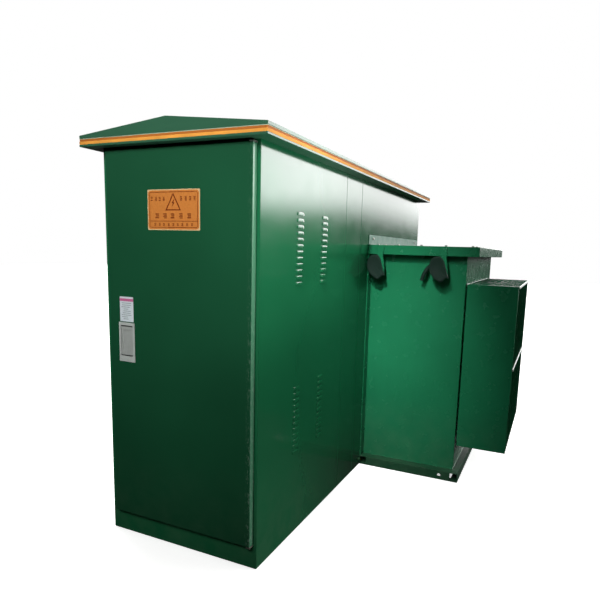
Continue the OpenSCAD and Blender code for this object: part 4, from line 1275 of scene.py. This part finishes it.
class MakeLowVoltage(bpy.types.Operator):
    """Bushings, bars, breaker and its lever in the low voltage bay"""
    bl_idname = "transformer.low_voltage"
    bl_label = "Low voltage fittings"
    flange = 34
    count, climb = 4, (95, 0, 62)       # each bushing stands higher, so that the bars clear

    def execute(self, context):
        low, high = box_mm("lv_bushings")
        part = Shape()
        inside = -40
        part.turned([(0, inside), (16, inside), (23, 0), (23, 8), (self.flange, 8),
                     (self.flange, 18), (30, 20), (23, 24), (31, 30), (30, 34), (21, 38), (29, 45),
                     (28, 49), (20, 53), (20, 66), (9, 69), (9, 145), (8, 146), (0, 146)],
                    (0, high.y, 0), (0, -1, 0), 28)
        repeated_piece("lv_bushings", part.mesh("lv_bushing"),
                       (low.x + self.flange, inside, low.z + self.flange), self.count,
                       self.climb)
        rounded_piece("lv_busbars", 1.0, 7)
        self.bar_nuts(low)
        rounded_piece("lv_breaker", 4.0, 30)
        rounded_piece("lv_breaker_lever", 1.5, 6)
        self.breaker_front()
        return {"FINISHED"}

    def bar_nuts(self, low):
        """A washer and nut on each bushing's stud, against the bars."""
        bars_high = box_mm("lv_busbars")[1]
        nut = Shape()
        nut.turned([(9.3, 0), (19, 0), (19, 2), (9.3, 2), (9.3, 0)], axis=(0, 1, 0), steps=20)
        nut.turned([(9.3, 2), (15, 2), (15, 12), (13.5, 13), (9.3, 13), (9.3, 2)],
                   axis=(0, 1, 0), steps=6)
        mesh = repeated("busbar_nuts", nut.mesh("busbar_nut", 20), "zinc_plate",
                        (low.x + self.flange, bars_high.y, low.z + self.flange), self.count,
                        self.climb)
        piece("busbar_nuts", mesh, "cabinet", "zinc_plate")

    @staticmethod
    def breaker_front():
        """Moulded front of the breaker: raised panel, rating strip and terminal covers."""
        low, high = box_mm("lv_breaker")
        wide, tall = high.x - low.x, high.z - low.z
        shape = Shape((low.x, low.y, low.z), (1, 0, 0), (0, 0, 1), (0, -1, 0))
        for x0, x1 in ((30, wide / 2 - 34), (wide / 2 + 34, wide - 30)):
            shape.block((x0, 110, -3), (x1, tall - 90, 3), 2.0)
        shape.block((30, tall - 70, -3), (wide - 30, tall - 30, 1.2), 1.0, slot=1)
        for k in range(4):
            x = wide * (k + 0.5) / 4
            shape.turned([(0, 0), (12, 0), (12, 2), (9, 3), (6, 3), (6, 1), (0, 1)], (x, 30, -0.5),
                         steps=20, slot=2)
        piece("breaker_front", shape, "cabinet", "black_plastic",
              finishes=["black_plastic", "gauge_enamel", "zinc_plate"])


class MakeCapacitors(bpy.types.Operator):
    """Capacitor rack and its rows of cans with terminals"""
    bl_idname = "transformer.capacitors"
    bl_label = "Capacitors"

    def execute(self, context):
        rounded_piece("capacitor_rack", 1.2, 10)
        low, high = box_mm("capacitor_cans")
        shape = Shape()
        wide, deep, tall, terminal = 110.0, 300.0, 190.0, 42
        shape.block((0, 0, 0), (wide, deep, tall - 2), 5.0)
        shape.block((-0.8, -0.8, tall - 6), (wide + 0.8, deep + 0.8, tall), 1.5)
        for k in range(3):
            shape.turned([(0, 0), (14, 0), (14, 6), (11, 9), (13, 14), (10, 18), (10, 26), (5, 26),
                          (5, terminal - 1), (4, terminal), (0, terminal)],
                         (wide / 2, 70 + k * 80, tall), steps=18)
        shelf_rise = high.z - low.z - (tall + terminal)
        repeated_piece("capacitor_cans", shape.mesh("capacitor_can"), low, 5, (145, 0, 0),
                       2, (0, 0, shelf_rise))
        return {"FINISHED"}


class CoatInside(bpy.types.Operator):
    """Finishes of the core, windings and clamps sealed in the tank"""
    bl_idname = "transformer.inside"
    bl_label = "Core and windings"

    def execute(self, context):
        for node in ("core", "windings", "core_clamps"):
            coat_node(node)
        return {"FINISHED"}


class MakeStage(bpy.types.Operator):
    """Pale floor, soft light and camera"""
    bl_idname = "transformer.stage"
    bl_label = "Stage"

    def execute(self, context):
        self.floor(context)
        self.sky(context)
        self.lamps(context)
        self.camera(context)
        context.scene.view_settings.view_transform = "Standard"
        return {"FINISHED"}

    @staticmethod
    def floor(context):
        bpy.ops.mesh.primitive_plane_add(size=60, location=(0, 0, -0.001))
        floor = context.active_object
        floor.name = "floor"
        floor.data.materials.append(finish("floor"))
        floor.visible_glossy = False
        floor.visible_diffuse = False

    @staticmethod
    def sky(context):
        """A soft overcast sky with a bright low window beyond the far end, which the back
        wall's gloss mirrors, over dark ground. The camera itself sees plain white."""
        world = bpy.data.worlds.new("overcast")
        context.scene.world = world
        world.use_nodes = True
        tree = world.node_tree
        tree.nodes.clear()
        look = add(tree, "ShaderNodeTexCoord").outputs["Generated"]
        split = add(tree, "ShaderNodeSeparateXYZ", {0: look}).outputs

        def ramp(value, low, high, to_low=0.0, to_high=1.0):
            return add(tree, "ShaderNodeMapRange", {
                "Value": value, "From Min": low, "From Max": high, "To Min": to_low,
                "To Max": to_high}, interpolation_type="SMOOTHSTEP").outputs[0]

        def maths(kind, a, b):
            return add(tree, "ShaderNodeMath", {0: a, 1: b}, operation=kind).outputs[0]

        # The window's foot dips toward the far end; then how it fades upward, how strong it is
        # from side to side, and where it ends toward the front.
        beyond = add(tree, "ShaderNodeMapRange", {
            "Value": split["X"], "From Min": -1.0, "From Max": -0.93, "To Min": 0.04,
            "To Max": 0.0}).outputs[0]
        level = maths("ADD", split["Z"], beyond)
        above = ramp(level, 0.048, 0.108)
        high_up = ramp(split["Z"], 0.2, 0.55, 1.0, 0.12)
        across = maths("ADD", ramp(split["X"], -0.965, -0.875, 3.1, 7.3),
                       ramp(split["X"], -0.972, -0.985, 0.0, 4.0))
        to_front = ramp(split["X"], 0.0, -0.7)
        window = maths("MULTIPLY", maths("MULTIPLY", above, high_up),
                       maths("MULTIPLY", across, to_front))
        general = maths("MULTIPLY", ramp(split["Z"], -0.05, 0.45, 0.03, 1.5),
                        ramp(split["X"], 0.25, -0.5, 0.1, 1.1))
        strength = maths("ADD", general, window)
        light = add(tree, "ShaderNodeBackground",
                    {"Color": (0.99, 0.985, 0.985, 1), "Strength": strength})
        plain = add(tree, "ShaderNodeBackground", {"Color": (1, 1, 1, 1), "Strength": 1.0})
        seen = add(tree, "ShaderNodeLightPath").outputs["Is Camera Ray"]
        both = add(tree, "ShaderNodeMixShader", {0: seen, 1: light.outputs[0],
                                                 2: plain.outputs[0]})
        add(tree, "ShaderNodeOutputWorld", {"Surface": both.outputs[0]})

    @staticmethod
    def lamps(context):
        """A small lamp high over the tank, whose shadows have an edge, a broad soft one on
        the end door, and a weak one from low down that lifts the roof's underside."""
        for name, place, aim, size, power, spread in (
                ("tank_lamp", (1.9, 0.2, 2.95), (-0.1, 0.04, 0.82), (0.06, 0.12), 5.3, 35),
                ("door_lamp", (4.2, 0.1, 3.4), (1.4, -0.45, 1.65), (1.5, 1.5), 18, 48),
                ("soffit_lamp", (1.6, 1.3, 0.4), (1.0, 0.1, 1.95), (1.2, 0.5), 7, 56)):
            lamp = bpy.data.lights.new(name, "AREA")
            lamp.shape = "RECTANGLE"
            lamp.size, lamp.size_y = size
            lamp.energy = power
            lamp.spread = math.radians(spread)
            obj = bpy.data.objects.new(name, lamp)
            obj.location = place
            toward = Vector(aim) - Vector(place)
            obj.rotation_euler = toward.to_track_quat("-Z", "Y").to_euler()
            obj.visible_glossy = False
            obj.visible_camera = False
            context.scene.collection.objects.link(obj)

    @staticmethod
    def camera(context):
        lens = bpy.data.cameras.new("camera")
        lens.sensor_width = 36.0
        lens.lens = 31.67
        lens.shift_x = -0.0295
        lens.shift_y = 0.0533
        camera = bpy.data.objects.new("camera", lens)
        camera.location = (3.3055, 1.1377, 1.4666)
        tilt, roll, heading = 81.25, -1.66, 114.34
        camera.rotation_euler = Euler([math.radians(a) for a in (tilt, roll, heading)])
        context.scene.collection.objects.link(camera)
        context.scene.camera = camera


OPERATORS = (MakeStage, MakeSkid, MakeCabinet, MakeLouvredPanel, MakeRoof, MakeDoors, MakeLocks,
             MakePlates, MakeTank, MakeHooks, MakeRadiators, MakeHighVoltage, MakeLowVoltage,
             MakeCapacitors, CoatInside)


class TransformerPanel(bpy.types.Panel):
    """Lists the steps that build the transformer"""
    bl_idname = "VIEW3D_PT_transformer"
    bl_label = "Transformer"
    bl_space_type = "VIEW_3D"
    bl_region_type = "UI"
    bl_category = "Transformer"

    def draw(self, context):
        for step in OPERATORS:
            self.layout.operator(step.bl_idname)
        for group in (context.scene.transformer_sizes, context.scene.transformer_colours):
            for key in group.bl_rna.properties.keys():
                if key not in {"rna_type", "name"}:
                    self.layout.prop(group, key)


CLASSES = (TransformerSizes, TransformerColours, *OPERATORS, TransformerPanel)


def register():
    for cls in CLASSES:
        bpy.utils.register_class(cls)
    bpy.types.Scene.transformer_sizes = PointerProperty(type=TransformerSizes)
    bpy.types.Scene.transformer_colours = PointerProperty(type=TransformerColours)


def unregister():
    del bpy.types.Scene.transformer_sizes
    del bpy.types.Scene.transformer_colours
    for cls in reversed(CLASSES):
        bpy.utils.unregister_class(cls)


def main():
    register()
    for step in OPERATORS:
        group, name = step.bl_idname.split(".")
        getattr(getattr(bpy.ops, group), name)()


if __name__ == "__main__":
    main()
